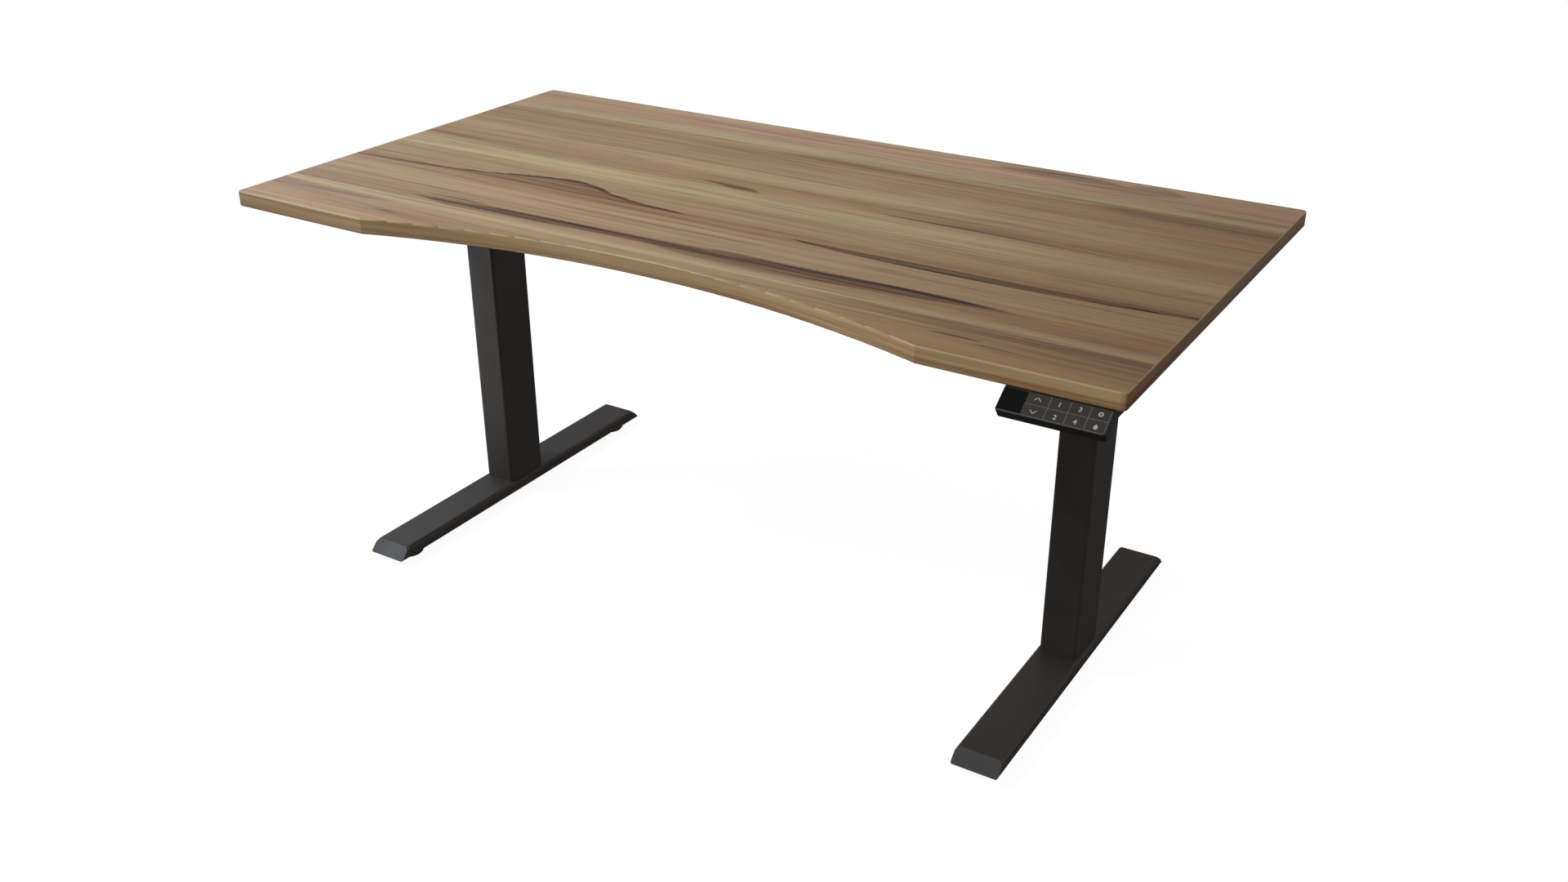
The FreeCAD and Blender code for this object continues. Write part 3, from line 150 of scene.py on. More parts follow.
@dataclass(frozen=True)
class GrainyFinish(Finish):
    """A coat, moulding or metal whose tone varies softly and whose skin has a fine grain.

    The tone drifts over patch_mm, and the grain is bumped at grain_mm, stretched by stretch.
    """

    colour: str = "#202020"
    shade_colour: str = "#181818"
    metallic: float = 0.0
    roughness: float = 0.5
    roughness_spread: float = 0.08
    specular: float = 0.5
    patch_mm: float = 60.0
    grain_mm: float = 1.0
    stretch: Triple = (1.0, 1.0, 1.0)
    bump: float = 0.15
    bump_mm: float = 0.05
    patch_detail: float = 3.0
    grain_detail: float = 2.0

    def shade(self, tree: Tree) -> Socket:
        """Builds tone, roughness and grain from noise on Object coordinates.

        Args:
            tree: The material's node tree.

        Returns:
            The shader.
        """
        place = add_node(tree, "ShaderNodeTexCoord", output=OBJECT)
        drift = {"Vector": place, "Scale": 1 / (self.patch_mm * MM), "Detail": self.patch_detail}
        patches = add_node(tree, "ShaderNodeTexNoise", drift)
        scale = tuple(1 / (self.grain_mm * MM * s) for s in self.stretch)
        stretched = add_node(tree, "ShaderNodeMapping", {"Vector": place, "Scale": scale})
        pits = {"Vector": stretched, "Scale": 1.0, "Detail": self.grain_detail}
        grain = add_node(tree, "ShaderNodeTexNoise", pits)
        tones = {0: patches, 6: linear(self.shade_colour), 7: linear(self.colour)}
        tone = add_node(tree, "ShaderNodeMix", tones, **BLEND)
        low, high = self.roughness - self.roughness_spread, self.roughness + self.roughness_spread
        rough = add_node(tree, "ShaderNodeMapRange", {0: patches, 1: FAINT, 2: FULL, 3: low, 4: high})
        skin = {"Strength": self.bump, "Distance": self.bump_mm * MM, "Height": grain}
        return add_node(
            tree,
            "ShaderNodeBsdfPrincipled",
            {
                "Base Color": tone,
                "Metallic": self.metallic,
                "Roughness": rough,
                "Specular IOR Level": self.specular,
                "Normal": add_node(tree, "ShaderNodeBump", skin),
            },
        )


@dataclass(frozen=True)
class ThreadedSteel(GrainyFinish):
    """Rolled screw steel, with its thread bumped at pitch_mm along Z."""

    pitch_mm: float = 10.0
    thread_mm: float = 1.5
    thread_bump: float = 0.8

    def shade(self, tree: Tree) -> Socket:
        """Adds the thread's bump to the steel.

        Args:
            tree: The material's node tree.

        Returns:
            The shader.
        """
        shader = super().shade(tree)
        place = add_node(tree, "ShaderNodeTexCoord", output=OBJECT)
        # At a scale of 1 a wave texture repeats every 2 pi / 20.
        bands = {"Vector": place, "Scale": 2 * math.pi / (20 * self.pitch_mm * MM)}
        wave = add_node(
            tree, "ShaderNodeTexWave", bands, output=1, bands_direction="Z", wave_profile="TRI"
        )
        thread = {"Strength": self.thread_bump, "Distance": self.thread_mm * MM, "Height": wave}
        tree.links.new(add_node(tree, "ShaderNodeBump", thread), shader.node.inputs["Normal"])
        return shader


@dataclass(frozen=True)
class Stave:
    """A printed stave, from its front joint back to the next one's.

    Its tones are spread evenly from its front to its back.
    """

    front_mm: float
    tones: tuple[str, ...]


@dataclass(frozen=True)
class Figure:
    """A dark growth figure of the veneer, in mm on the desktop, between two curves drawn along the grain.

    The figure ends where its curves meet. strength is how much of its colour covers the wood, and softness is
    how far its edges fade, in mm.
    """

    upper: tuple[Point, ...]
    lower: tuple[Point, ...]
    colour: str
    strength: float
    softness: float


@dataclass(frozen=True)
class Grain:
    """A layer of noise drawn out along the grain, with its length and width in mm.

    The shift is in metres, and keeps one layer from repeating another.
    """

    along_mm: float
    across_mm: float
    detail: float
    shift: float
    roughness: float = 0.6

    def noise(self, tree: Tree, place: Socket) -> Socket:
        """Adds the layer's nodes.

        Args:
            tree: The node tree.
            place: Object coordinates.

        Returns:
            The noise's value.
        """
        moved = add_node(
            tree,
            "ShaderNodeMapping",
            {
                "Vector": place,
                "Location": (self.shift, 2 * self.shift, 3 * self.shift),
                "Scale": tuple(1 / (size * MM) for size in (self.along_mm, self.across_mm, self.across_mm)),
            },
        )
        layer = {"Vector": moved, "Scale": 1.0, "Detail": self.detail, "Roughness": self.roughness}
        return add_node(tree, "ShaderNodeTexNoise", layer)


@dataclass(frozen=True)
class WoodLaminate(Finish):
    """Melamine laminate printed as butt-jointed walnut staves that run along X, with a satin embossed face.

    The print has flat staves with straight joints, soft streaks, dark figures and fine pores, and toward its
    right end it is mixed toward a darker brown as painted shade, standing in for the light falling off there.
    The satin skin shows a pale sheen at low angles, and the pores catch the light because the face is pressed to
    match them. The finest fibres are drawn coarser than real ones, so that they show.
    """

    staves: tuple[Stave, ...] = ()
    figures: tuple[Figure, ...] = ()
    half_width_mm: float = 750.0
    half_depth_mm: float = 400.0
    joint_mm: float = 3.0
    sway: Grain = Grain(420.0, 60.0, 2.0, 1.7)
    sway_mm: float = 5.0
    line: Grain = Grain(330.0, 6.0, 2.0, 31.1)
    feather_mm: float = 6.0
    gaps: Point = (0.42, 0.6)
    gap_cover: float = 0.38
    streak: Grain = Grain(700.0, 16.0, 4.0, 5.1)
    streak_value: Point = (0.86, 1.13)
    drift: Grain = Grain(900.0, 70.0, 2.0, 9.3)
    drift_hue: Point = (0.493, 0.509)
    saturation: float = 1.05
    # Painted shade toward the right end: its colour, where along the desktop it starts, and how much it covers.
    right_end_shade: str = "#93633d"
    right_shade_start: float = 0.6
    right_shade_share: float = 0.36
    late: Grain = Grain(380.0, 11.0, 3.0, 21.7)
    late_wood: str = "#6f5140"
    late_limits: Point = (0.5, 0.72)
    late_share: float = 0.5
    fibre: Grain = Grain(110.0, 2.2, 3.0, 0.3)
    fibre_value: Point = (1.1, 0.88)
    pore: Grain = Grain(16.0, 1.1, 1.0, 12.9)
    pore_limits: Point = (0.6, 0.72)
    pore_value: float = 0.76
    emboss: float = 0.35
    emboss_mm: float = 0.25
    relief_span: Point = (0.8, 1.08)
    pore_roughness: float = 0.52
    face_roughness: float = 0.38
    specular: float = 0.34

    def share(self, across_mm: float) -> float:
        """A place across the desktop in mm, as a share from 0 at the front to 1 at the back."""
        return (across_mm + self.half_depth_mm) / (2 * self.half_depth_mm)

    def stave_stops(self) -> list[tuple[float, str]]:
        """Lists the tones across the desktop.

        Returns:
            The place of each tone, from 0 at the front to 1 at the back, and the tone.
        """
        fronts = [stave.front_mm for stave in self.staves] + [self.half_depth_mm]
        stops = []
        for stave, end in zip(self.staves, fronts[1:]):
            first, last = stave.front_mm + self.joint_mm / 2, end - self.joint_mm / 2
            for k, tone in enumerate(stave.tones):
                stops.append((self.share(first + (last - first) * k / (len(stave.tones) - 1)), tone))
        return stops

    def curve(self, tree: Tree, along: Socket, points: Sequence[Point]) -> Socket:
        """Draws a curve along the desktop.

        Args:
            tree: The node tree.
            along: Place along the desktop, from 0 at the left to 1 at the right.
            points: Points of the curve in mm.

        Returns:
            The curve's place across the desktop, from 0 at the front to 1 at the back.
        """
        out = add_node(tree, "ShaderNodeFloatCurve", {"Value": along})
        curve = out.node.mapping.curves[0]
        width = 2 * self.half_width_mm
        places = [((x + self.half_width_mm) / width, self.share(y)) for x, y in points]
        if places[0][0] > 0:
            places.insert(0, (0.0, places[0][1]))
        if places[-1][0] < 1:
            places.append((1.0, places[-1][1]))
        curve.points[0].location = places[0]
        curve.points[1].location = places[-1]
        for place in places[1:-1]:
            curve.points.new(*place)
        for point in curve.points:
            point.handle_type = "AUTO_CLAMPED"
        out.node.mapping.update()
        return out

    def lay_figure(
        self, tree: Tree, colour: Socket, along: Socket, across: Socket, lines: Socket, figure: Figure
    ) -> Socket:
        """Lays one figure over the wood.

        Args:
            tree: The node tree.
            colour: Colour of the wood so far.
            along: Place along the desktop, 0 to 1.
            across: Place across the desktop, 0 to 1, already bent by the grain's sway.
            lines: Fine line noise that breaks the figure up.
            figure: The figure.

        Returns:
            The colour with the figure on it.
        """
        upper, lower = (self.curve(tree, along, points) for points in (figure.upper, figure.lower))
        below = add_node(tree, "ShaderNodeMath", {0: upper, 1: across}, operation="SUBTRACT")
        above = add_node(tree, "ShaderNodeMath", {0: across, 1: lower}, operation="SUBTRACT")
        inside = add_node(tree, "ShaderNodeMath", {0: below, 1: above}, operation="MINIMUM")
        fade = figure.softness / (2 * self.half_depth_mm)
        edges = {0: inside, 1: 0.0, 2: fade, 3: 0.0, 4: figure.strength}
        mask = add_node(tree, "ShaderNodeMapRange", edges, **EASED)
        start, end = self.gaps
        gaps = {0: lines, 1: start, 2: end, 3: 1.0, 4: self.gap_cover}
        broken = add_node(tree, "ShaderNodeMapRange", gaps)
        cover = add_node(tree, "ShaderNodeMath", {0: mask, 1: broken}, operation="MULTIPLY")
        return add_node(tree, "ShaderNodeMix", {0: cover, 6: colour, 7: linear(figure.colour)}, **BLEND)

    def bend(self, tree: Tree, place: Socket, across: Socket, lines: Socket) -> Socket:
        """Sways the place across the desktop, and feathers it by the fine lines.

        Args:
            tree: The node tree.
            place: Object coordinates.
            across: Place across the desktop, 0 to 1.
            lines: Fine line noise.

        Returns:
            The place that the figures are drawn by.
        """
        shift = 0.0
        for noise, reach in ((self.sway.noise(tree, place), self.sway_mm), (lines, self.feather_mm)):
            size = reach / (2 * self.half_depth_mm)
            swing = {0: noise, 1: 2 * size, 2: across}
            across = add_node(tree, "ShaderNodeMath", swing, operation="MULTIPLY_ADD")
            shift += size
        return add_node(tree, "ShaderNodeMath", {0: across, 1: shift}, operation="SUBTRACT")

    def print_staves(self, tree: Tree, place: Socket, along: Socket, across: Socket) -> Socket:
        """Prints the staves, their streaks and the painted shade toward the right end.

        Args:
            tree: The node tree.
            place: Object coordinates.
            along: Place along the desktop, 0 to 1.
            across: Place across the desktop, 0 to 1.

        Returns:
            The wood's colour.
        """
        ramp = add_node(tree, "ShaderNodeValToRGB", {0: across})
        stops = ramp.node.color_ramp.elements
        first, *others, last = self.stave_stops()
        for stop, (position, tone) in zip(stops, (first, last)):
            stop.position, stop.color = position, linear(tone)
        for position, tone in others:
            stops.new(position).color = linear(tone)
        shifts = []
        for grain, (low, high) in ((self.streak, self.streak_value), (self.drift, self.drift_hue)):
            span = {0: grain.noise(tree, place), 1: FAINT, 2: FULL, 3: low, 4: high}
            shifts.append(add_node(tree, "ShaderNodeMapRange", span))
        streaked = {"Hue": shifts[1], "Saturation": self.saturation, "Value": shifts[0], "Color": ramp}
        colour = add_node(tree, "ShaderNodeHueSaturation", streaked)
        # Painted shade: the right end is mixed toward a darker brown, where the light falls off.
        span = {0: along, 1: self.right_shade_start, 2: 1.0, 3: 0.0, 4: self.right_shade_share}
        right_shade = add_node(tree, "ShaderNodeMapRange", span, **EASED)
        colour = add_node(tree, "ShaderNodeMix", {0: right_shade, 6: colour, 7: linear(self.right_end_shade)}, **BLEND)
        start, end = self.late_limits
        span = {0: self.late.noise(tree, place), 1: start, 2: end, 3: 0.0, 4: self.late_share}
        brown = add_node(tree, "ShaderNodeMapRange", span)
        return add_node(tree, "ShaderNodeMix", {0: brown, 6: colour, 7: linear(self.late_wood)}, **BLEND)

    def face_colour(self, tree: Tree, place: Socket) -> tuple[Socket, Socket]:
        """Prints the face and presses its grain.

        Args:
            tree: The node tree.
            place: Object coordinates.

        Returns:
            The printed colour and the height of the pressed grain.
        """
        split = add_node(tree, "ShaderNodeSeparateXYZ", {0: place}).node
        half_w, half_d = self.half_width_mm * MM, self.half_depth_mm * MM
        along = add_node(tree, "ShaderNodeMapRange", {0: split.outputs[0], 1: -half_w, 2: half_w})
        across = add_node(tree, "ShaderNodeMapRange", {0: split.outputs[1], 1: -half_d, 2: half_d})
        lines = self.line.noise(tree, place)
        bent = self.bend(tree, place, across, lines)
        colour = self.print_staves(tree, place, along, across)
        for figure in self.figures:
            colour = self.lay_figure(tree, colour, along, bent, lines, figure)
        light, dark = self.fibre_value
        span = {0: self.fibre.noise(tree, place), 1: FAINT, 2: FULL, 3: light, 4: dark}
        fine = add_node(tree, "ShaderNodeMapRange", span)
        start, end = self.pore_limits
        span = {0: self.pore.noise(tree, place), 1: start, 2: end, 3: 1.0, 4: self.pore_value}
        pricked = add_node(tree, "ShaderNodeMapRange", span)
        both = add_node(tree, "ShaderNodeMath", {0: fine, 1: pricked}, operation="MULTIPLY")
        return add_node(tree, "ShaderNodeHueSaturation", {"Value": both, "Color": colour}), both

    def finish_shader(self, tree: Tree, colour: Socket, relief: Socket) -> Socket:
        """Gives the print its satin skin.

        Args:
            tree: The node tree.
            colour: The printed colour.
            relief: Height of the pressed grain, where 1 is level.

        Returns:
            The shader.
        """
        skin = {"Strength": self.emboss, "Distance": self.emboss_mm * MM, "Height": relief}
        low, high = self.relief_span
        gloss = {0: relief, 1: low, 2: high, 3: self.pore_roughness, 4: self.face_roughness}
        return add_node(
            tree,
            "ShaderNodeBsdfPrincipled",
            {
                "Base Color": colour,
                "Roughness": add_node(tree, "ShaderNodeMapRange", gloss),
                "Specular IOR Level": self.specular,
                "Normal": add_node(tree, "ShaderNodeBump", skin),
            },
        )

    def shade(self, tree: Tree) -> Socket:
        """Builds the laminate's face.

        Args:
            tree: The material's node tree.

        Returns:
            The shader.
        """
        place = add_node(tree, "ShaderNodeTexCoord", output=OBJECT)
        return self.finish_shader(tree, *self.face_colour(tree, place))


@dataclass(frozen=True)
class EdgeBanding(WoodLaminate):
    """ABS edge banding printed as the end and side of the staves, with the face's print on its top land.

    Lengthwise stripes follow the edge. The long sides are an olive tan with painted light, dimmer at the left
    and brighter to the right. The ends are a redder brown, darkened further as painted shade because they face
    away from the key lamp. The milled top corner carries a painted highlight. The stripes are darker toward the
    foot of the edge. Depths are in mm below the desktop's face.
    """

    stripe_mm: Point = (260.0, 5.0)
    stripe_detail: float = 4.0
    stripe_limits: Point = (0.34, 0.8)
    foot_darker: Point = (0.17, -0.15)
    sides: tuple[str, str] = ("#cbac7b", "#9a6c47")
    # The ends take darker tones than the sides, partly as painted shade: they face away from the key lamp.
    ends: tuple[str, str] = ("#92673f", "#673f25")
    end_limits: Point = (0.6, 0.95)
    # Painted light: the sides' tone is scaled by these values from left to right, brightening them toward the
    # right.
    painted_light_run: Point = (-0.6, 0.6)
    painted_light_value: Point = (0.86, 1.32)
    # Painted highlight along the rounded top corner: its colour, the depths it spans and how much it covers.
    corner: str = "#dcc08e"
    highlight_mm: Point = (2.1, 1.0)
    highlight_share: float = 0.5
    land_mm: Point = (0.6, 0.1)

    def shade(self, tree: Tree) -> Socket:
        """Builds the stripes of the banding and blends them into the face at the top.

        Args:
            tree: The material's node tree.

        Returns:
            The shader.
        """
        place = add_node(tree, "ShaderNodeTexCoord", output=OBJECT)
        face, relief = self.face_colour(tree, place)
        split = add_node(tree, "ShaderNodeSeparateXYZ", {0: place}).node
        height = split.outputs[2]
        lo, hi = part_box("desktop_edge_band")
        length, width = (1 / (size * MM) for size in self.stripe_mm)
        moved = add_node(tree, "ShaderNodeMapping", {"Vector": place, "Scale": (length, length, width)})
        bands = {"Vector": moved, "Scale": 1.0, "Detail": self.stripe_detail}
        stripes = add_node(tree, "ShaderNodeTexNoise", bands)
        foot, head = self.foot_darker
        low_side = add_node(tree, "ShaderNodeMapRange", {0: height, 1: lo.z, 2: hi.z, 3: foot, 4: head})
        depth = add_node(tree, "ShaderNodeMath", {0: stripes, 1: low_side}, operation="ADD")
        start, end = self.stripe_limits
        amount = add_node(tree, "ShaderNodeMapRange", {0: depth, 1: start, 2: end})
        side, shaded_butt = (
            add_node(tree, "ShaderNodeMix", {0: amount, 6: linear(light), 7: linear(dark)}, **BLEND)
            for light, dark in (self.sides, self.ends)
        )
        # Painted light on the sides, dimmer at the left and brighter at the right.
        (left, right), (dim, bright) = self.painted_light_run, self.painted_light_value
        painted_light = {0: split.outputs[0], 1: left, 2: right, 3: dim, 4: bright}
        painted_light = {"Value": add_node(tree, "ShaderNodeMapRange", painted_light), "Color": side}
        side = add_node(tree, "ShaderNodeHueSaturation", painted_light)
        normal = add_node(tree, "ShaderNodeNewGeometry", output=1)
        facing = add_node(tree, "ShaderNodeSeparateXYZ", {0: normal})
        facing = add_node(tree, "ShaderNodeMath", {0: facing}, operation="ABSOLUTE")
        start, end = self.end_limits
        at_end = add_node(tree, "ShaderNodeMapRange", {0: facing, 1: start, 2: end})
        # The ends take the darker tones, partly painted shade.
        colour = add_node(tree, "ShaderNodeMix", {0: at_end, 6: side, 7: shaded_butt}, **BLEND)
        # First a painted highlight along the top corner, then the face's print on the top land.
        for over, (start, end), share in (
            (linear(self.corner), self.highlight_mm, self.highlight_share),
            (face, self.land_mm, 1.0),
        ):
            rise = {0: height, 1: hi.z - start * MM, 2: hi.z - end * MM, 3: 0.0, 4: share}
            amount = add_node(tree, "ShaderNodeMapRange", rise)
            colour = add_node(tree, "ShaderNodeMix", {0: amount, 6: colour, 7: over}, **BLEND)
        return self.finish_shader(tree, colour, relief)


# Tones of the print, from the pale sapwood to the brown at the joints.
CREAM = "#e3c8a2"
BLUSH = "#e0ba9a"
STRAW = "#d8bd93"
SAND = "#d3b18d"
TAN = "#cbaa85"
ROSE = "#cba37c"
OLIVE = "#c3a57d"
CLAY = "#c09b78"
UMBER = "#b8916d"

STAVES = (
    Stave(-400, (ROSE, CLAY, TAN)),
    Stave(-300, (STRAW, UMBER, TAN, TAN, UMBER)),
    Stave(-128, (UMBER, OLIVE, OLIVE, OLIVE, STRAW, STRAW, TAN, CLAY, CLAY, SAND, SAND, TAN, TAN, CLAY, TAN,
                 CLAY, SAND)),
    Stave(270, (CREAM, STRAW, BLUSH, BLUSH, BLUSH)),
    Stave(382, (CREAM, CREAM)),
)

# The dark figures, each laid over the ones before it: the hump over the middle joint and its dark line, the
# joint's line to the right, the long streak behind the cut-out, then the smaller ones.
FIGURES = (
    Figure(
        ((-750, -132), (-620, -124), (-500, -110), (-400, -84), (-320, -70), (-270, -75), (-220, -96),
         (-100, -116), (0, -127)),
        ((-750, -143), (-620, -138), (-540, -130), (-480, -127), (0, -127)),
        "#7d4f3a", 0.85, 2.5,
    ),
    Figure(
        ((-750, -132), (-620, -124), (-500, -110), (-400, -84), (-320, -70), (-270, -75), (-220, -96),
         (-100, -116), (-20, -126)),
        ((-750, -139), (-620, -132), (-500, -119), (-400, -95), (-320, -82), (-270, -90), (-220, -108),
         (-100, -125), (-20, -126)),
        "#351f17", 0.95, 4.0,
    ),
    Figure(
        ((40, -131), (180, -134), (250, -133), (450, -132), (620, -129), (750, -125)),
        ((40, -131), (180, -144), (250, -151), (450, -157), (620, -149), (750, -140)),
        "#60402e", 0.95, 3.5,
    ),
    Figure(
        ((60, -133), (180, -139), (250, -145), (450, -151), (620, -143), (750, -132)),
        ((60, -133), (180, -144), (250, -151), (450, -157), (620, -149), (750, -140)),
        "#331d15", 0.95, 2.5,
    ),
    Figure(
        ((-600, -262), (-480, -257), (-380, -246), (-250, -241), (-60, -239), (40, -233), (100, -226),
         (250, -227), (400, -228), (480, -231), (560, -239), (660, -244)),
        ((-600, -262), (-480, -270), (-400, -280), (-250, -275), (-60, -265), (60, -279), (160, -279),
         (300, -270), (400, -260), (480, -251), (560, -246), (660, -244)),
        "#60412f", 0.95, 9.0,
    ),
    Figure(
        ((60, -246), (160, -232), (300, -229), (440, -231), (560, -242)),
        ((60, -246), (160, -252), (300, -249), (440, -246), (560, -242)),
        "#351f16", 0.8, 6.0,
    ),
    Figure(
        ((-430, -256), (-330, -248), (-200, -247), (-40, -250)),
        ((-430, -256), (-330, -264), (-200, -260), (-40, -250)),
        "#382117", 0.7, 5.0,
    ),
    Figure(
        ((-540, -243), (-420, -241), (-290, -245)),
        ((-540, -243), (-420, -247), (-290, -245)),
        "#46332a", 0.9, 1.6,
    ),
    Figure(
        ((200, 367), (260, 379), (350, 388), (440, 382), (500, 366)),
        ((200, 367), (260, 360), (350, 355), (440, 358), (500, 366)),
        "#4a2e20", 0.85, 9.0,
    ),
    Figure(
        ((240, 338), (420, 354), (520, 390), (566, 370), (569, 362)),
        ((240, 338), (420, 330), (520, 336), (562, 352), (569, 362)),
        "#6e4c3d", 0.5, 8.0,
    ),
    Figure(
        ((-170, 44), (-110, 50), (-60, 48), (10, 25)),
        ((-170, 44), (-110, 32), (-60, 24), (10, 25)),
        "#4a2d1f", 0.85, 7.0,
    ),
    Figure(
        ((60, 40), (300, 42), (500, 38), (700, 34)),
        ((60, 40), (300, 34), (500, 30), (700, 34)),
        "#432a1e", 0.9, 2.5,
    ),
    Figure(
        ((-390, 143), (-200, 143), (0, 138), (220, 130)),
        ((-390, 143), (-200, 133), (0, 126), (220, 130)),
        "#6a4a3b", 0.65, 4.0,
    ),
    Figure(
        ((-260, 246), (-60, 258), (120, 260), (300, 251), (420, 244)),
        ((-260, 246), (-60, 236), (120, 234), (300, 238), (420, 244)),
        "#5e4234", 0.62, 10.0,
    ),
    Figure(
        ((380, 240), (520, 268), (640, 268), (750, 264)),
        ((380, 240), (520, 222), (640, 212), (750, 206)),
        "#5d4133", 0.5, 18.0,
    ),
    Figure(
        ((-750, 54), (-640, 52), (-550, 40)),
        ((-750, 36), (-640, 32), (-550, 40)),
        "#7a5141", 0.6, 7.0,
    ),
    Figure(
        ((-520, -352), (-470, -347), (-420, -353)),
        ((-520, -352), (-470, -357), (-420, -353)),
        "#382117", 0.9, 2.5,
    ),
    Figure(
        ((120, -301), (400, -302), (750, -302)),
        ((120, -301), (400, -332), (600, -350), (750, -356)),
        "#754d38", 0.55, 12.0,
    ),
    Figure(
        ((180, -302), (750, -302)),
        ((180, -302), (420, -314), (750, -322)),
        "#6a4432", 0.5, 2.0,
    ),
    Figure(
        ((-750, -302), (-380, -302)),
        ((-750, -336), (-560, -326), (-380, -302)),
        "#80594a", 0.5, 6.0,
    ),
    Figure(
        ((440, -346), (500, -342), (570, -346)),
        ((440, -346), (500, -348), (570, -346)),
        "#46291c", 0.9, 1.5,
    ),
    Figure(
        ((510, -356), (560, -353), (620, -357)),
        ((510, -356), (560, -358), (620, -357)),
        "#46291c", 0.9, 1.5,
    ),
)


class Finishes:
    """Every finish of the desk."""

    # High pressure melamine with a walnut print: satin, embossed, paler where it is seen at a low angle.
    LAMINATE = WoodLaminate("walnut_laminate", staves=STAVES, figures=FIGURES)
    # ABS banding of the same print, milled flush and rounded over.
    BANDING = EdgeBanding("walnut_edge_banding", staves=STAVES, figures=FIGURES)
    # Baked polyester powder on steel: near black, satin, with a faint orange peel.
    POWDER = GrainyFinish(
        "satin_black_powder_coat", "#464039", "#3d3833", roughness=0.44, grain_mm=1.6, bump=0.12, bump_mm=0.12
    )
    # Injection moulded ABS with a spark eroded grain: dull black.
    ABS = GrainyFinish("moulded_black_abs", "#292725", "#23211f", roughness=0.5, grain_mm=0.7, bump=0.25)
    # Acetal guide plastic: waxy black with a low gloss.
    ACETAL = GrainyFinish("black_acetal", "#191919", "#141414", roughness=0.38, grain_mm=2.0, bump=0.06)
    # Thermoplastic rubber of the glide soles: matt charcoal.
    RUBBER = GrainyFinish(
        "black_rubber", "#1b1a19", "#151414", roughness=0.72, specular=0.35, grain_mm=0.8, bump=0.4
    )
    # Turned bright steel: fine turning marks round the axis.
    BRIGHT = GrainyFinish(
        "turned_bright_steel", "#c3c2bf", "#aeadab", 1.0, 0.28, stretch=(12.0, 12.0, 0.4), bump=0.1
    )
    # Rolled screw steel: bright and lightly oiled, with the thread's crests and roots.
    SCREW = ThreadedSteel("rolled_screw_steel", "#b5b4b0", "#98968f", 1.0, 0.3)
    # Zinc plated, black passivated fasteners: dark metal with a slight blue grey bloom.
    ZINC = GrainyFinish(
        "black_zinc_plate", "#4b4c4e", "#3a3a3c", 1.0, 0.42, patch_mm=9.0, grain_mm=0.5, bump=0.1
    )
    # Die cast zinc aluminium, bead blasted: light grey with a fine blasted grain.
    CAST = GrainyFinish("blasted_die_casting", "#8e8f8f", "#7c7d7e", 1.0, 0.5, grain_mm=0.9, bump=0.35)
    # Phosphor bronze worm wheels, turned and hobbed: warm and half bright.
    BRONZE = GrainyFinish("turned_bronze", "#b98a4e", "#a2763e", 1.0, 0.34, grain_mm=1.2)
    # Glass fibre board under green solder mask: even and half glossy.
    BOARD = GrainyFinish(
        "green_circuit_board", "#2c5b36", "#234c2d", roughness=0.38, patch_mm=12.0, grain_mm=1.2, bump=0.3
    )
    # Acrylic key panel of the handset, back printed: smooth warm charcoal.
    PANEL = GrainyFinish(
        "printed_acrylic_panel", "#474339", "#433f35", 0.0, 0.4, 0.03, specular=0.3, grain_mm=3.0, bump=0.02
    )
    # Tinted acrylic window over the numerals: glossy black.
    WINDOW = GrainyFinish(
        "tinted_display_window", "#060606", "#040404", 0.0, 0.2, 0.02, specular=0.2, grain_mm=4.0, bump=0.01
    )
    # Silk screened legends: flat pale grey ink, and thinner darker ink for the key lines, which also paints a
    # highlight along the key panel's front and right edges.
    INK = GrainyFinish("pale_legend_ink", "#dddbd2", "#d4d2c8", roughness=0.6, grain_mm=0.6, bump=0.1)
    LINE_AND_HIGHLIGHT_INK = GrainyFinish("grey_line_and_highlight_ink", "#8f8d82", "#88867b", roughness=0.6, grain_mm=0.6, bump=0.1)


# ------------------------------------------------------------------ pieces
def finish_piece(
    name: str, mesh: Mesh, finish: Finish, body: str, replaces: Sequence[str] = ()
) -> None:
    """Turns a finished bmesh into a piece of the desk.

    Args:
        name: Name of the piece.
        mesh: Its shape in place, in metres. It is freed.
        finish: Its finish.
        body: The body it moves with.
        replaces: The nodes that it stands for.
    """
    bmesh.ops.remove_doubles(mesh, verts=mesh.verts, dist=WELD)
    bmesh.ops.dissolve_degenerate(mesh, edges=mesh.edges, dist=SLIVER)
    bmesh.ops.recalc_face_normals(mesh, faces=mesh.faces)
    data = bpy.data.meshes.new(name)
    mesh.to_mesh(data)
    mesh.free()
    data.materials.append(finish.material())
    data.shade_smooth()
    data.set_sharp_from_angle(angle=SMOOTH_ANGLE)
    piece = bpy.data.objects.new(name, data)
    bpy.context.scene.collection.objects.link(piece)
    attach(piece, body)
    if replaces:
        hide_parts(*replaces)
    LOG.info("piece %s on %s, %d faces", name, body, len(data.polygons))


def dress(finish: Finish, *nodes: str) -> None:
    """Gives nodes their finish.

    Args:
        finish: The finish.
        *nodes: Names of the nodes.
    """
    for node in nodes:
        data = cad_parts[node].data
        data.materials.clear()
        data.materials.append(finish.material())
        LOG.info("node %s in %s", node, finish.name)


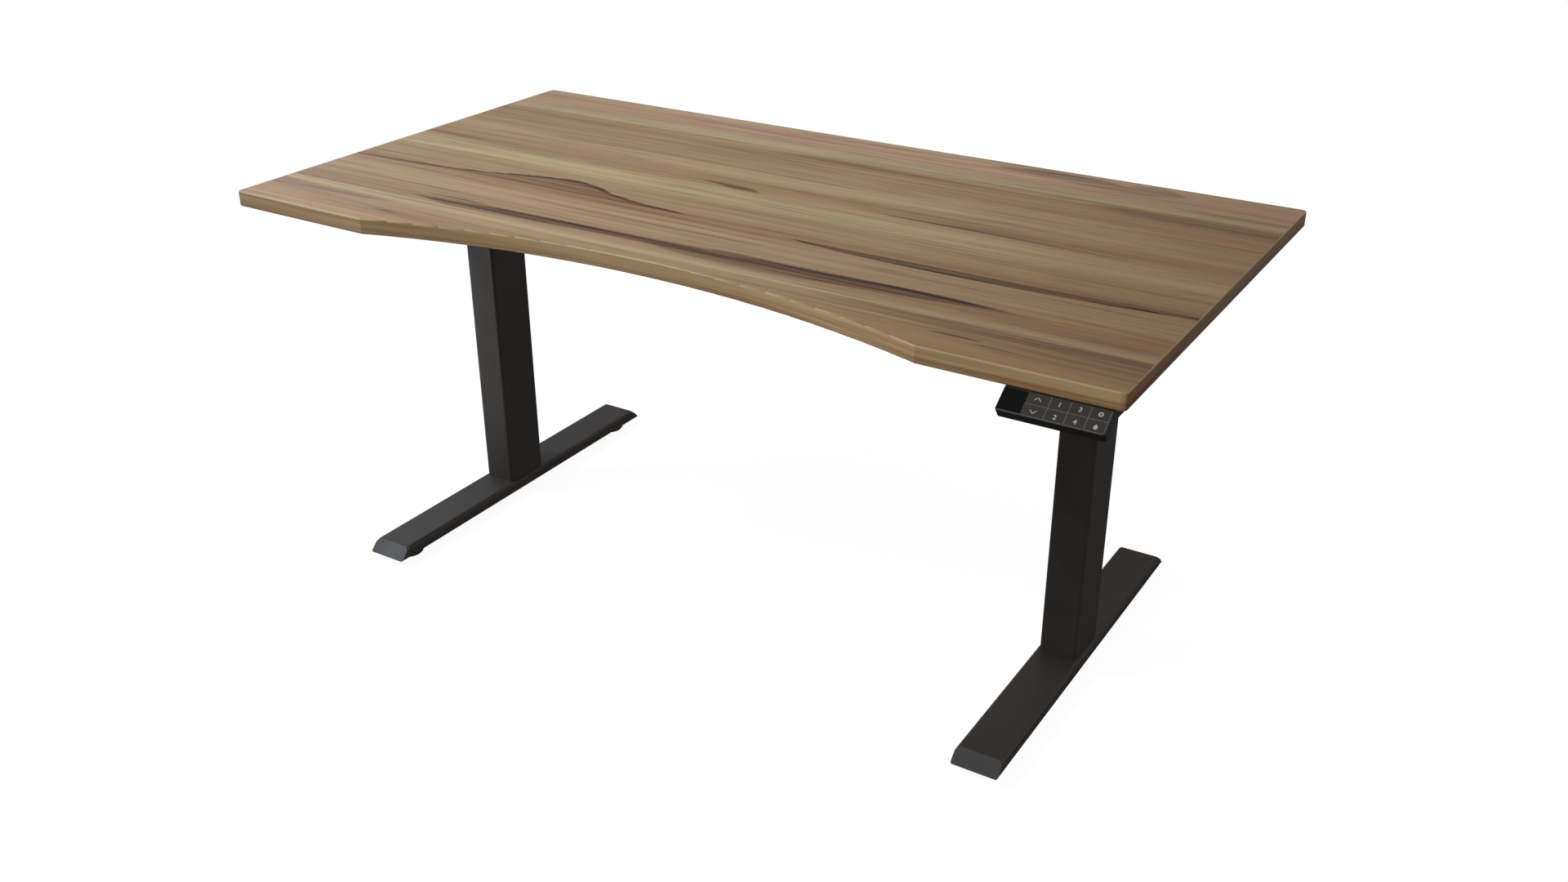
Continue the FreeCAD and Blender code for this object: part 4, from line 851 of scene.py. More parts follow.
def lathe(mesh: Mesh, profile: Sequence[Point], steps: int = 32) -> list[bmesh.types.BMVert]:
    """Spins a profile round the Z axis.

    Args:
        mesh: The bmesh to add to.
        profile: Radius and height of each point, in metres.
        steps: Divisions of the circle.

    Returns:
        The new vertices.
    """
    known = set(mesh.verts)
    row = [mesh.verts.new((radius, 0.0, height)) for radius, height in profile]
    edges = [mesh.edges.new(pair) for pair in zip(row, row[1:])]
    bmesh.ops.spin(
        mesh,
        geom=row + edges,
        cent=(0, 0, 0),
        axis=(0, 0, 1),
        dvec=(0, 0, 0),
        angle=2 * math.pi,
        steps=steps,
        use_merge=True,
    )
    return [v for v in mesh.verts if v not in known]


def rounding(radius: float, steps: int = 4) -> list[Point]:
    """Points of a quarter round.

    Args:
        radius: Its radius.
        steps: Its divisions.

    Returns:
        How far each point lies out and up from the round's centre, from straight out to straight up.
    """
    angles = [math.pi / 2 * k / steps for k in range(steps + 1)]
    return [(radius * math.cos(a), radius * math.sin(a)) for a in angles]


def raise_face(mesh: Mesh, height: float) -> list[bmesh.types.BMVert]:
    """Extrudes every face of a flat mesh upward.

    Args:
        mesh: The bmesh.
        height: How far.

    Returns:
        The vertices at the top.
    """
    raised = bmesh.ops.extrude_face_region(mesh, geom=list(mesh.faces))
    lifted = [v for v in raised["geom"] if isinstance(v, bmesh.types.BMVert)]
    bmesh.ops.translate(mesh, verts=lifted, vec=(0, 0, height))
    return lifted


def islands(node: str) -> list[list[Vector]]:
    """Corners of each separate solid of a node.

    Args:
        node: Name of the node.

    Returns:
        One list of points for each solid, in the node's own order.
    """
    mesh = bmesh.new()
    mesh.from_mesh(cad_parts[node].data)
    bmesh.ops.remove_doubles(mesh, verts=mesh.verts, dist=WELD)
    left = set(mesh.verts)
    found = []
    for seed in mesh.verts:
        if seed not in left:
            continue
        left.discard(seed)
        group, stack = [], [seed]
        while stack:
            vert = stack.pop()
            group.append(vert.co.copy())
            near = {edge.other_vert(vert) for edge in vert.link_edges} & left
            left -= near
            stack += near
        found.append(group)
    mesh.free()
    return found


class Recess(Enum):
    """Drive recess in a fastener's head."""

    HEX = "hex"
    CROSS = "cross"


@dataclass(frozen=True)
class Fastener:
    """A screw or bolt with its drive recess, drawn where a node's solid stands.

    Radii and heights are those of the solid. The recess and the head's crown are given as shares of the
    head's, and the thread's root and the point as shares of the shank's radius. A solid's points from rim_share
    of its greatest radius outward are its head's rim, and those within shank_share are on its shank.
    """

    recess: Recess
    recess_share: float = 0.5
    depth_share: float = 0.6
    crown_share: float = 0.35
    land_share: float = 1.08
    root_share: float = 0.86
    point_share: float = 0.6
    arm_half_angle: float = 12.0
    waist_share: float = 0.42
    pitch: float = 1.0 * MM
    steps: int = 24
    rim_share: float = 0.95
    shank_share: float = 0.9

    def measure(self, points: Sequence[Vector]) -> tuple[Matrix, float, float, float, float]:
        """Finds how a solid stands.

        Args:
            points: Corners of the solid.

        Returns:
            The place of the head's outer face with +Z out of the head, then the head's radius and height, the
            shank's radius and the whole length.
        """
        lo = Vector([min(p[i] for p in points) for i in range(3)])
        hi = Vector([max(p[i] for p in points) for i in range(3)])
        size = hi - lo
        axis = max(range(3), key=lambda i: size[i])
        centre = (lo + hi) / 2
        radii = []
        for point in points:
            offset = point - centre
            offset[axis] = 0.0
            radii.append(offset.length)
        head_radius = max(radii)
        rim = [p[axis] for p, r in zip(points, radii) if r > self.rim_share * head_radius]
        shank = max(r for r in radii if r < self.shank_share * head_radius)
        outward = 1.0 if sum(rim) / len(rim) > centre[axis] else -1.0
        face = centre.copy()
        face[axis] = hi[axis] if outward > 0 else lo[axis]
        direction = Vector([outward if i == axis else 0.0 for i in range(3)])
        turn = direction.to_track_quat("Z", "Y").to_matrix().to_4x4()
        return Matrix.Translation(face) @ turn, head_radius, max(rim) - min(rim), shank, size[axis]

    def recess_radius(self, angle: float, reach: float) -> float:
        """Distance from the axis to the recess's wall.

        Args:
            angle: Angle round the axis, in radians.
            reach: Distance to the recess's corners.

        Returns:
            The wall's distance at this angle.
        """
        if self.recess is Recess.HEX:
            sixth = math.pi / 3
            return reach * math.cos(sixth / 2) / math.cos((angle % sixth) - sixth / 2)
        off_arm = abs(((angle + math.pi / 4) % (math.pi / 2)) - math.pi / 4)
        return reach if off_arm < math.radians(self.arm_half_angle) else reach * self.waist_share

    def add(self, mesh: Mesh, points: Sequence[Vector]) -> None:
        """Adds the fastener to a mesh where the solid stands.

        Args:
            mesh: The bmesh to add to.
            points: Corners of the solid.
        """
        place, head_radius, head_height, shank, length = self.measure(points)
        reach = head_radius * self.recess_share
        floor = -head_height * self.depth_share
        crown = head_height * self.crown_share
        land = reach * self.land_share
        profile = [(0.0, floor), (reach, floor), (reach, 0.0)]
        profile += [(land + (head_radius - land) * out, crown * (up - 1)) for up, out in rounding(1.0)[1:]]
        profile += [(head_radius, -head_height), (shank, -head_height)]
        height = -head_height - self.pitch
        while height > -length + 2 * self.pitch:
            profile += [(shank, height), (shank * self.root_share, height - self.pitch / 2)]
            height -= self.pitch
        profile += [(shank, -length + self.pitch), (shank * self.point_share, -length), (0.0, -length)]
        made = lathe(mesh, profile, self.steps)
        for vert in made:
            radius = math.hypot(vert.co.x, vert.co.y)
            if abs(radius - reach) < SLIVER and vert.co.z > floor - SLIVER:
                share = self.recess_radius(math.atan2(vert.co.y, vert.co.x), reach) / radius
                vert.co.x *= share
                vert.co.y *= share
        bmesh.ops.transform(mesh, matrix=place, verts=made)

    def replace(self, node: str, body: str, name: str) -> None:
        """Makes every fastener of a node as one piece.

        Args:
            node: The node whose solids they stand for.
            body: The body they move with.
            name: Name of the piece.
        """
        mesh = bmesh.new()
        for points in islands(node):
            self.add(mesh, points)
        finish_piece(name, mesh, Finishes.ZINC, body, [node])


# ------------------------------------------------------------------ sub-assemblies
@dataclass
class Desktop:
    """The laminated desktop and its banding."""

    board: str = "desktop_board"
    band: str = "desktop_edge_band"

    def build(self) -> None:
        """Dresses the two nodes."""
        dress(Finishes.LAMINATE, self.board)
        dress(Finishes.BANDING, self.band)


@dataclass
class Glide:
    """A levelling glide: ribbed pad, rubber sole, hexagon and threaded stud."""

    side: str
    end: str
    sole_height: float = 1.6 * MM
    sole_inset: float = 1.2 * MM
    sole_chamfer: float = 0.5 * MM
    sole_seat: float = 0.2 * MM
    chamfer: float = 3.0 * MM
    chamfer_bulge: Point = (0.35, 0.3)
    pad_height: float = 7.0 * MM
    seat_depth: float = 0.8 * MM
    seat_rim: float = 12.24 * MM
    seat_floor: float = 11.22 * MM
    ribs: int = 36
    rib_depth: float = 0.9 * MM
    hex_height: float = 4.0 * MM
    hex_flats: float = 17.0 * MM
    hex_chamfer: float = 0.7 * MM
    stud_radius: float = 4.0 * MM
    stud_sink: float = 0.3 * MM
    stud_steps: int = 20
    stud_tip: float = 2.8 * MM
    thread_depth: float = 0.6 * MM
    pitch: float = 1.25 * MM
    node: str = field(init=False)
    body: str = field(init=False)
    radius: float = field(init=False)
    length: float = field(init=False)
    stand: Matrix = field(init=False)

    def __post_init__(self) -> None:
        """Finds the glide's node."""
        self.node = f"{self.side}_{self.end}_glide"
        self.body = f"{self.side}_{self.end}_foot_glide"
        lo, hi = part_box(self.node)
        self.radius = (hi.x - lo.x) / 2
        self.length = hi.z - lo.z
        self.stand = Matrix.Translation(((lo.x + hi.x) / 2, (lo.y + hi.y) / 2, lo.z))

    def build(self) -> None:
        """Makes the glide's pieces where its node stands."""
        self.pad()
        self.sole()
        self.stud()

    def finish(self, part: str, mesh: Mesh, finish: Finish, slot: str, replaces: Sequence[str] = ()) -> None:
        """Stands a part of the glide in its place.

        Args:
            part: Name of the part.
            mesh: Its shape round the origin.
            finish: Its finish.
            slot: Not used.
            replaces: The nodes that it stands for.
        """
        bmesh.ops.transform(mesh, matrix=self.stand, verts=mesh.verts)
        finish_piece(f"{self.node}_{part}", mesh, finish, self.body, replaces)

    def pad(self) -> None:
        """Makes the moulded pad, with ribs pressed into its wall for gripping it by hand."""
        mesh = bmesh.new()
        top, low, radius = self.pad_height, self.sole_height, self.radius
        inward, down = self.chamfer_bulge
        profile = [
            (0.0, low),
            (radius, low),
            (radius, top - self.chamfer),
            (radius - self.chamfer * inward, top - self.chamfer * down),
            (radius - self.chamfer, top),
            (self.seat_rim, top),
            (self.seat_floor, top - self.seat_depth),
            (0.0, top - self.seat_depth),
        ]
        for vert in lathe(mesh, profile, self.ribs * 2):
            step = round(math.atan2(vert.co.y, vert.co.x) / (math.pi / self.ribs))
            if math.hypot(vert.co.x, vert.co.y) > radius - SLIVER and step % 2:
                vert.co.x *= 1 - self.rib_depth / radius
                vert.co.y *= 1 - self.rib_depth / radius
        self.finish("pad", mesh, Finishes.ABS, "black_plastic", [self.node])

    def sole(self) -> None:
        """Makes the rubber disc under the pad."""
        mesh = bmesh.new()
        rim = self.radius - self.sole_inset
        top = self.sole_height + self.sole_seat
        profile = [(0.0, 0.0), (rim - self.sole_chamfer, 0.0), (rim, self.sole_chamfer), (rim, top), (0.0, top)]
        lathe(mesh, profile, self.ribs)
        self.finish("sole", mesh, Finishes.RUBBER, "black_plastic")

    def stud(self) -> None:
        """Makes the zinc plated hexagon and its threaded stud."""
        mesh = bmesh.new()
        base = self.pad_height - self.seat_depth
        top = self.pad_height + self.hex_height
        corner = self.hex_flats / math.sqrt(3.0)
        low = Matrix.Translation((0, 0, base))
        bmesh.ops.create_circle(mesh, cap_ends=True, segments=6, radius=corner, matrix=low)
        lifted = raise_face(mesh, top - base)
        bmesh.ops.bevel(
            mesh,
            geom=[e for e in mesh.edges if all(v in lifted for v in e.verts)],
            offset=self.hex_chamfer,
            segments=2,
            profile=0.5,
            affect="EDGES",
            material=-1,
        )
        sunk = top - self.stud_sink
        crest, root = self.stud_radius, self.stud_radius - self.thread_depth
        profile = [(0.0, sunk), (crest, sunk)]
        height = top
        while height < self.length - 2 * self.pitch:
            profile += [(crest, height), (root, height + self.pitch / 2)]
            height += self.pitch
        profile += [(crest, self.length - self.pitch), (self.stud_tip, self.length), (0.0, self.length)]
        lathe(mesh, profile, self.stud_steps)
        self.finish("stud", mesh, Finishes.ZINC, "zinc_steel")


@dataclass
class Legs:
    """Feet, columns and the screw drive inside them."""

    ends: tuple[str, ...] = ("front", "rear")

    def build(self) -> None:
        """Dresses the steel and the drive, and makes glides and foot bolts."""
        dress(Finishes.POWDER, "foot_end_plates")
        dress(Finishes.ACETAL, "outer_collars", "base_nuts", "inner_sliders")
        dress(Finishes.ZINC, "glide_weld_nuts")
        dress(Finishes.BRIGHT, "base_towers")
        for side in SIDES:
            for part in ("foot_beam", "outer_tube", "middle_tube", "inner_tube"):
                dress(Finishes.POWDER, f"{side}_{part}")
            for part in ("middle_collar", "middle_slider", "middle_nut"):
                dress(Finishes.ACETAL, f"{side}_{part}")
            dress(Finishes.BRIGHT, f"{side}_middle_tower")
            dress(Finishes.SCREW, f"{side}_hollow_screw", f"{side}_drive_screw")
            for end in self.ends:
                Glide(side, end).build()
        Fastener(Recess.HEX).replace("foot_bolts", "base", "foot_bolt_set")


@dataclass
class Motor:
    """A geared motor's can, with its rolled seams, end bell and brush caps."""

    side: str
    edge: float = 1.0 * MM
    first_seam: float = 7.0 * MM
    seam_depth: float = 0.8 * MM
    seam_width: float = 2.4 * MM
    seam_slope: float = 0.6 * MM
    bell_length: float = 16.0 * MM
    rim: float = 2.0 * MM
    cap_radius: float = 15.0 * MM
    cap_length: float = 5.0 * MM
    dimple: float = 1.5 * MM
    dimple_radii: Point = (6.75 * MM, 6.0 * MM)
    steps: int = 48

    def build(self) -> None:
        """Makes the motor where its node stands."""
        node = f"{self.side}_motor"
        lo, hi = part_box(node)
        radius = (hi.z - lo.z) / 2
        length = hi.x - lo.x
        outward = 1.0 if self.side == "right" else -1.0
        face = hi.x if outward > 0 else lo.x
        turn = Vector((-outward, 0, 0)).to_track_quat("Z", "Y").to_matrix().to_4x4()
        place = Matrix.Translation((face, (lo.y + hi.y) / 2, (lo.z + hi.z) / 2)) @ turn
        can = length - self.cap_length
        profile = [(0.0, 0.0), (radius - self.edge, 0.0), (radius, self.edge)]
        groove = radius - self.seam_depth
        for seam in (self.first_seam, can - self.bell_length):
            end = seam + self.seam_width
            slope = self.seam_slope
            profile += [(radius, seam), (groove, seam + slope), (groove, end - slope), (radius, end)]
        profile += [(radius - self.rim + out, can - self.rim + up) for out, up in rounding(self.rim)]
        cap, sunk = self.cap_radius, length - self.dimple
        profile += [(cap, can), (cap, length - self.edge), (cap - self.edge, length)]
        rim, floor = self.dimple_radii
        profile += [(rim, length), (floor, sunk), (0.0, sunk)]
        mesh = bmesh.new()
        lathe(mesh, profile, self.steps)
        bmesh.ops.transform(mesh, matrix=place, verts=mesh.verts)
        finish_piece(f"{self.side}_motor_can", mesh, Finishes.POWDER, "top", [node])


@dataclass
class HeadFrame:
    """Cradles, gearboxes, motors, crossbar, side brackets and their fasteners."""

    body: str = "top"

    def build(self) -> None:
        """Dresses the frame and makes its motors and fasteners."""
        dress(Finishes.POWDER, "crossbar_sleeves", "crossbar_rails")
        dress(Finishes.ABS, "gearbox_covers")
        for side in SIDES:
            dress(Finishes.POWDER, f"{side}_head_cradle", f"{side}_side_bracket")
            dress(Finishes.CAST, f"{side}_gearbox_housing")
            dress(Finishes.BRONZE, f"{side}_worm_wheel")
            dress(Finishes.BRIGHT, f"{side}_worm_shaft")
            Motor(side).build()
        wood_screw = Fastener(Recess.CROSS, crown_share=0.6, pitch=1.8 * MM)
        for node, fastener, name in (
            ("frame_bolts", Fastener(Recess.HEX), "frame_bolt_set"),
            ("gearbox_screws", Fastener(Recess.CROSS), "gearbox_screw_set"),
            ("wood_screws", wood_screw, "wood_screw_set"),
        ):
            fastener.replace(node, self.body, name)


@dataclass
class Controller:
    """The control box under the desktop."""

    box: tuple[str, ...] = ("controller_case", "controller_lid")

    def build(self) -> None:
        """Dresses the box, its sockets and its board."""
        dress(Finishes.ABS, *self.box)
        dress(Finishes.ACETAL, "controller_sockets")
        dress(Finishes.BOARD, "controller_board")


@dataclass
class Handset:
    """The handset under the front edge, with its printed key panel.

    Places on the panel are in mm: along from the handset's left side, then down the slope from its top edge.
    The ink's edges are rounded by a share of its height, ink_round.
    """

    tilt: float = 35.0
    panel_thickness: float = 1.2 * MM
    ink_height: float = 0.12 * MM
    ink_round: float = 0.3
    columns: tuple[float, ...] = (61.2, 86.6, 112.0)
    panel_left: float = 3.0
    keys_left: float = 32.0
    keys_right: float = 136.6
    keys_top: float = 0.4
    middle: float = 15.8
    bottom: float = 32.3
    corner: float = 3.0
    line_width: float = 0.6
    arrow_along: float = 46.0
    arrow_downs: Point = (6.9, 25.2)
    arrow_reach: Point = (4.0, 2.1)
    stroke: float = 0.95
    digits: tuple[tuple[str, Point], ...] = (
        ("1", (73.7, 7.3)),
        ("2", (73.8, 25.2)),
        ("3", (99.6, 7.0)),
        ("4", (99.5, 25.0)),
    )
    digit_size: float = 9.042
    digit_weight: float = 0.18
    ring_place: Point = (125.0, 7.3)
    ring_radii: Point = (1.4, 3.1)
    drop_place: Point = (124.8, 25.2)
    drop_radius: float = 2.7
    drop_point: float = 1.7
    drop_waist: float = 0.55
    drop_fall: float = 0.6
    steps: int = 32
    panel: Matrix = field(init=False)

    def __post_init__(self) -> None:
        """Finds the panel's plane: +X along it, +Y up its slope, +Z out of it."""
        shell_lo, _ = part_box("handset_shell")
        _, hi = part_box("handset_display")
        tilt = math.radians(self.tilt)
        origin = Vector((shell_lo.x, hi.y - self.panel_thickness * math.sin(tilt), hi.z))
        self.panel = Matrix.Translation(origin) @ Matrix.Rotation(tilt, 4, "X")

    def build(self) -> None:
        """Dresses the handset and prints its legends."""
        dress(Finishes.ABS, "handset_shell", "handset_back_cover")
        dress(Finishes.PANEL, "handset_fascia")
        dress(Finishes.WINDOW, "handset_display")
        dress(Finishes.BOARD, "handset_board")
        self.key_lines_and_edge_highlight()
        self.arrows()
        for text, place in self.digits:
            self.digit(text, place)
        self.ring()
        self.drop()

    def print_legend(self, name: str, mesh: Mesh, place: Point, ink: Finish = Finishes.INK) -> None:
        """Lays a legend on the panel.

        Args:
            name: Name of the legend.
            mesh: Its shape round the origin, in metres.
            place: Where its middle lies on the panel, in mm.
            ink: Its ink.
        """
        along, down = place
        shift = Matrix.Translation((along * MM, -down * MM, 0.0))
        bmesh.ops.transform(mesh, matrix=self.panel @ shift, verts=mesh.verts)
        finish_piece(f"handset_{name}", mesh, ink, "top")

    def stroke_line(self, mesh: Mesh, start: Point, end: Point, width: float) -> None:
        """Adds a flat stroke that reaches half its width past two places on the panel.

        Args:
            mesh: The bmesh to add to.
            start: The first place, in mm.
            end: The other place, in mm.
            width: Width of the stroke, in mm.
        """
        (x0, y0), (x1, y1) = ((along * MM, -down * MM) for along, down in (start, end))
        height = self.ink_height
        middle = Matrix.Translation(((x0 + x1) / 2, (y0 + y1) / 2, height / 2))
        turn = Matrix.Rotation(math.atan2(y1 - y0, x1 - x0), 4, "Z")
        length = math.hypot(x1 - x0, y1 - y0) + width * MM
        stretch = Matrix.Diagonal((length, width * MM, height, 1.0))
        new = set(bmesh.ops.create_cube(mesh, size=1.0, matrix=middle @ turn @ stretch)["verts"])
        bmesh.ops.bevel(
            mesh,
            geom=[e for e in mesh.edges if e.verts[0] in new and e.calc_length() < height * 1.01],
            offset=height * self.ink_round,
            segments=2,
            profile=0.5,
            affect="EDGES",
            material=-1,
        )

    def key_lines_and_edge_highlight(self) -> None:
        """Prints the thin lines between the keys, and the panel's front and right edges and rounded corner as a
        painted highlight.
        """
        mesh = bmesh.new()
        turn_x, turn_y = self.keys_right - self.corner, self.bottom - self.corner
        runs = [((along, self.keys_top), (along, self.bottom)) for along in self.columns]
        runs += [
            ((self.keys_left, self.middle), (self.keys_right, self.middle)),
            # Painted highlight along the panel's front edge and right edge, and round its corner below.
            ((self.panel_left, self.bottom), (turn_x, self.bottom)),
            ((self.keys_right, self.keys_top), (self.keys_right, turn_y)),
        ]
        # The rounded corner of the painted edge highlight.
        bend = [(turn_x + up, turn_y + out) for out, up in rounding(self.corner, 6)]
        runs += list(zip(bend, bend[1:]))
        for start, end in runs:
            self.stroke_line(mesh, start, end, self.line_width)
        self.print_legend("key_lines_and_edge_highlight", mesh, (0.0, 0.0), Finishes.LINE_AND_HIGHLIGHT_INK)

    def arrows(self) -> None:
        """Prints the up and down arrows."""
        mesh = bmesh.new()
        reach, rise = self.arrow_reach
        for down, sense in zip(self.arrow_downs, (-1.0, 1.0)):
            tip = (self.arrow_along, down + sense * rise)
            for side in (-1, 1):
                tail = (self.arrow_along + side * reach, down - sense * rise)
                self.stroke_line(mesh, tip, tail, self.stroke)
        self.print_legend("arrows", mesh, (0.0, 0.0))

    def digit(self, text: str, place: Point) -> None:
        """Prints a key's digit.

        Args:
            text: The digit.
            place: Where its middle lies on the panel, in mm.
        """
        curve = bpy.data.curves.new(f"digit_{text}", "FONT")
        curve.body = text
        curve.align_x, curve.align_y = "CENTER", "CENTER"
        curve.size = self.digit_size * MM
        curve.extrude = self.ink_height / 2
        curve.offset = self.digit_weight * MM
        writer = bpy.data.objects.new(f"digit_{text}", curve)
        mesh = bmesh.new()
        flat = bpy.data.meshes.new_from_object(writer)
        mesh.from_mesh(flat)
        bpy.data.objects.remove(writer)
        bpy.data.meshes.remove(flat)
        middle = sum((v.co.x for v in mesh.verts), 0.0) / len(mesh.verts)
        heights = [v.co.y for v in mesh.verts]
        centring = (-middle, -(min(heights) + max(heights)) / 2, self.ink_height / 2)
        bmesh.ops.translate(mesh, verts=mesh.verts, vec=centring)
        self.print_legend(f"digit_{text}", mesh, place)

    def ring(self) -> None:
        """Prints the round settings mark."""
        mesh = bmesh.new()
        inner, outer = (radius * MM for radius in self.ring_radii)
        top = self.ink_height
        profile = [(inner, 0.0), (outer, 0.0), (outer, top), (inner, top), (inner, 0.0)]
        lathe(mesh, profile, self.steps)
        self.print_legend("ring_mark", mesh, self.ring_place)

    def drop(self) -> None:
        """Prints the drop-shaped mark: a disc drawn up to a point."""
        mesh = bmesh.new()
        radius = self.drop_radius * MM
        bmesh.ops.create_circle(mesh, cap_ends=True, segments=self.steps, radius=radius)
        for vert in mesh.verts:
            if vert.co.y > 0:
                rise = vert.co.y / radius
                vert.co.y += self.drop_point * MM * rise**3
                vert.co.x *= 1 - self.drop_waist * rise**2
        bmesh.ops.translate(mesh, verts=mesh.verts, vec=(0, -self.drop_fall * MM, 0))
        raise_face(mesh, self.ink_height)
        self.print_legend("drop_mark", mesh, self.drop_place)


# ------------------------------------------------------------------ studio
@dataclass
class Studio:
    """Camera, white floor, pale surroundings and soft lamps.

    Glossy rays see a window wall on the left with a lintel over it, a ceiling and dim sides. Edges are given as
    where a change starts and ends: in radians from +X for the window, as the sine of the elevation for the
    lintel and the ceiling, and in metres on the floor.
    """

    camera_place: Triple = (1.2462, -1.9684, 1.4027)
    camera_pitch: float = 63.52
    camera_yaw: float = 31.48
    lens_mm: float = 35.0
    daylight: str = "#e4eeff"
    ambient: float = 0.33
    window_edge: Point = (2.3, 2.6)
    window_light: float = 1.6
    lintel: Point = (0.8, 0.5)
    ceiling_edge: Point = (0.3, 0.55)
    ceiling: float = 0.38
    dim_side: float = 0.15
    floor_size: float = 30.0
    floor_drop: float = 0.3 * MM
    floor_shadow: float = 0.2
    floor_bounce: Point = (0.4, 0.04)
    sheen_left: Point = (-0.3, -1.5)
    sheen_rear: Point = (0.6, 2.0)
    sheen: Point = (0.04, 0.2)
    key_place: Triple = (-2.2, -1.7, 2.9)
    key_aim: Triple = (-0.1, -0.1, 0.35)
    key_watts: float = 330.0
    key_cone: float = 46.0
    key_size: float = 0.7
    fill_place: Triple = (4.5, 2.5, 0.9)
    fill_aim: Triple = (0.0, 0.0, 0.5)
    fill_watts: float = 18.0
    fill_size: float = 1.2

    def build(self) -> None:
        """Sets up the whole studio."""
        bpy.context.scene.view_settings.view_transform = "Standard"
        self.camera()
        self.floor()
        self.surroundings()
        key = {"spot_size": math.radians(self.key_cone), "spot_blend": 1.0, "shadow_soft_size": self.key_size}
        self.lamp("key_lamp", "SPOT", self.key_place, self.key_aim, self.key_watts, **key)
        fill = {"size": self.fill_size}
        self.lamp("right_fill_lamp", "AREA", self.fill_place, self.fill_aim, self.fill_watts, **fill)

    def camera(self) -> None:
        """Places the camera."""
        lens = bpy.data.cameras.new("camera")
        lens.lens = self.lens_mm
        camera = bpy.data.objects.new("camera", lens)
        camera.location = self.camera_place
        camera.rotation_euler = (math.radians(self.camera_pitch), 0.0, math.radians(self.camera_yaw))
        bpy.context.scene.collection.objects.link(camera)
        bpy.context.scene.camera = camera

    def seen(self, tree: Tree, path: bpy.types.Node, gloss: Socket) -> Socket:
        """How much of the white background a ray sees.

        Args:
            tree: The node tree.
            path: Its Light Path node.
            gloss: Share of the background that a glossy ray sees.

        Returns:
            1 for camera and transmission rays, the share for glossy rays, and 0 for the rest.
        """
        straight = {0: path.outputs["Is Camera Ray"], 1: path.outputs["Is Transmission Ray"]}
        direct = add_node(tree, "ShaderNodeMath", straight, operation="MAXIMUM")
        mirrored = {0: path.outputs["Is Glossy Ray"], 1: gloss}
        glossy = add_node(tree, "ShaderNodeMath", mirrored, operation="MULTIPLY")
        return add_node(tree, "ShaderNodeMath", {0: direct, 1: glossy}, operation="MAXIMUM")

    def floor(self) -> None:
        """A white floor that keeps a faint shadow and hides nothing from a camera below it."""
        mesh = bmesh.new()
        bmesh.ops.create_grid(mesh, x_segments=1, y_segments=1, size=self.floor_size)
        bmesh.ops.translate(mesh, verts=mesh.verts, vec=(0, 0, -self.floor_drop))
        data = bpy.data.meshes.new("floor")
        mesh.to_mesh(data)
        mesh.free()
        floor = bpy.data.objects.new("floor", data)
        bpy.context.scene.collection.objects.link(floor)
        material = bpy.data.materials.new("white_floor")
        material.use_nodes = True
        tree = material.node_tree
        tree.nodes.clear()
        path = add_node(tree, "ShaderNodeLightPath").node
        place = add_node(tree, "ShaderNodeTexCoord", output=OBJECT)
        place = add_node(tree, "ShaderNodeSeparateXYZ", {0: place}).node
        (left, far_left), (rear, far_rear), (near, far) = self.sheen_left, self.sheen_rear, self.sheen
        span = {0: place.outputs[0], 1: left, 2: far_left}
        leftward = add_node(tree, "ShaderNodeMapRange", span, **EASED)
        span = {0: place.outputs[1], 1: rear, 2: far_rear, 3: near, 4: far}
        rearward = add_node(tree, "ShaderNodeMapRange", span, **EASED)
        sheen = add_node(tree, "ShaderNodeMath", {0: leftward, 1: rearward}, operation="MAXIMUM")
        light, dark = self.floor_bounce
        span = {0: path.outputs["Is Glossy Ray"], 3: light, 4: dark}
        bounce = add_node(tree, "ShaderNodeBsdfDiffuse", {"Color": add_node(tree, "ShaderNodeMapRange", span)})
        grey = (self.floor_shadow,) * 3 + (1.0,)
        shadowed = add_node(tree, "ShaderNodeBsdfDiffuse", {"Color": grey})
        glow = add_node(tree, "ShaderNodeEmission", {"Strength": 1.0 - self.floor_shadow * self.ambient})
        bright = add_node(tree, "ShaderNodeAddShader", {0: shadowed, 1: glow})
        white = self.seen(tree, path, sheen)
        mixed = add_node(tree, "ShaderNodeMixShader", {0: white, 1: bounce, 2: bright})
        under = add_node(tree, "ShaderNodeNewGeometry").node.outputs["Backfacing"]
        below = {0: under, 1: path.outputs["Is Camera Ray"]}
        below = add_node(tree, "ShaderNodeMath", below, operation="MINIMUM")
        clear = add_node(tree, "ShaderNodeBsdfTransparent")
        mixed = add_node(tree, "ShaderNodeMixShader", {0: below, 1: mixed, 2: clear})
        add_node(tree, "ShaderNodeOutputMaterial", {"Surface": mixed})
        data.materials.append(material)

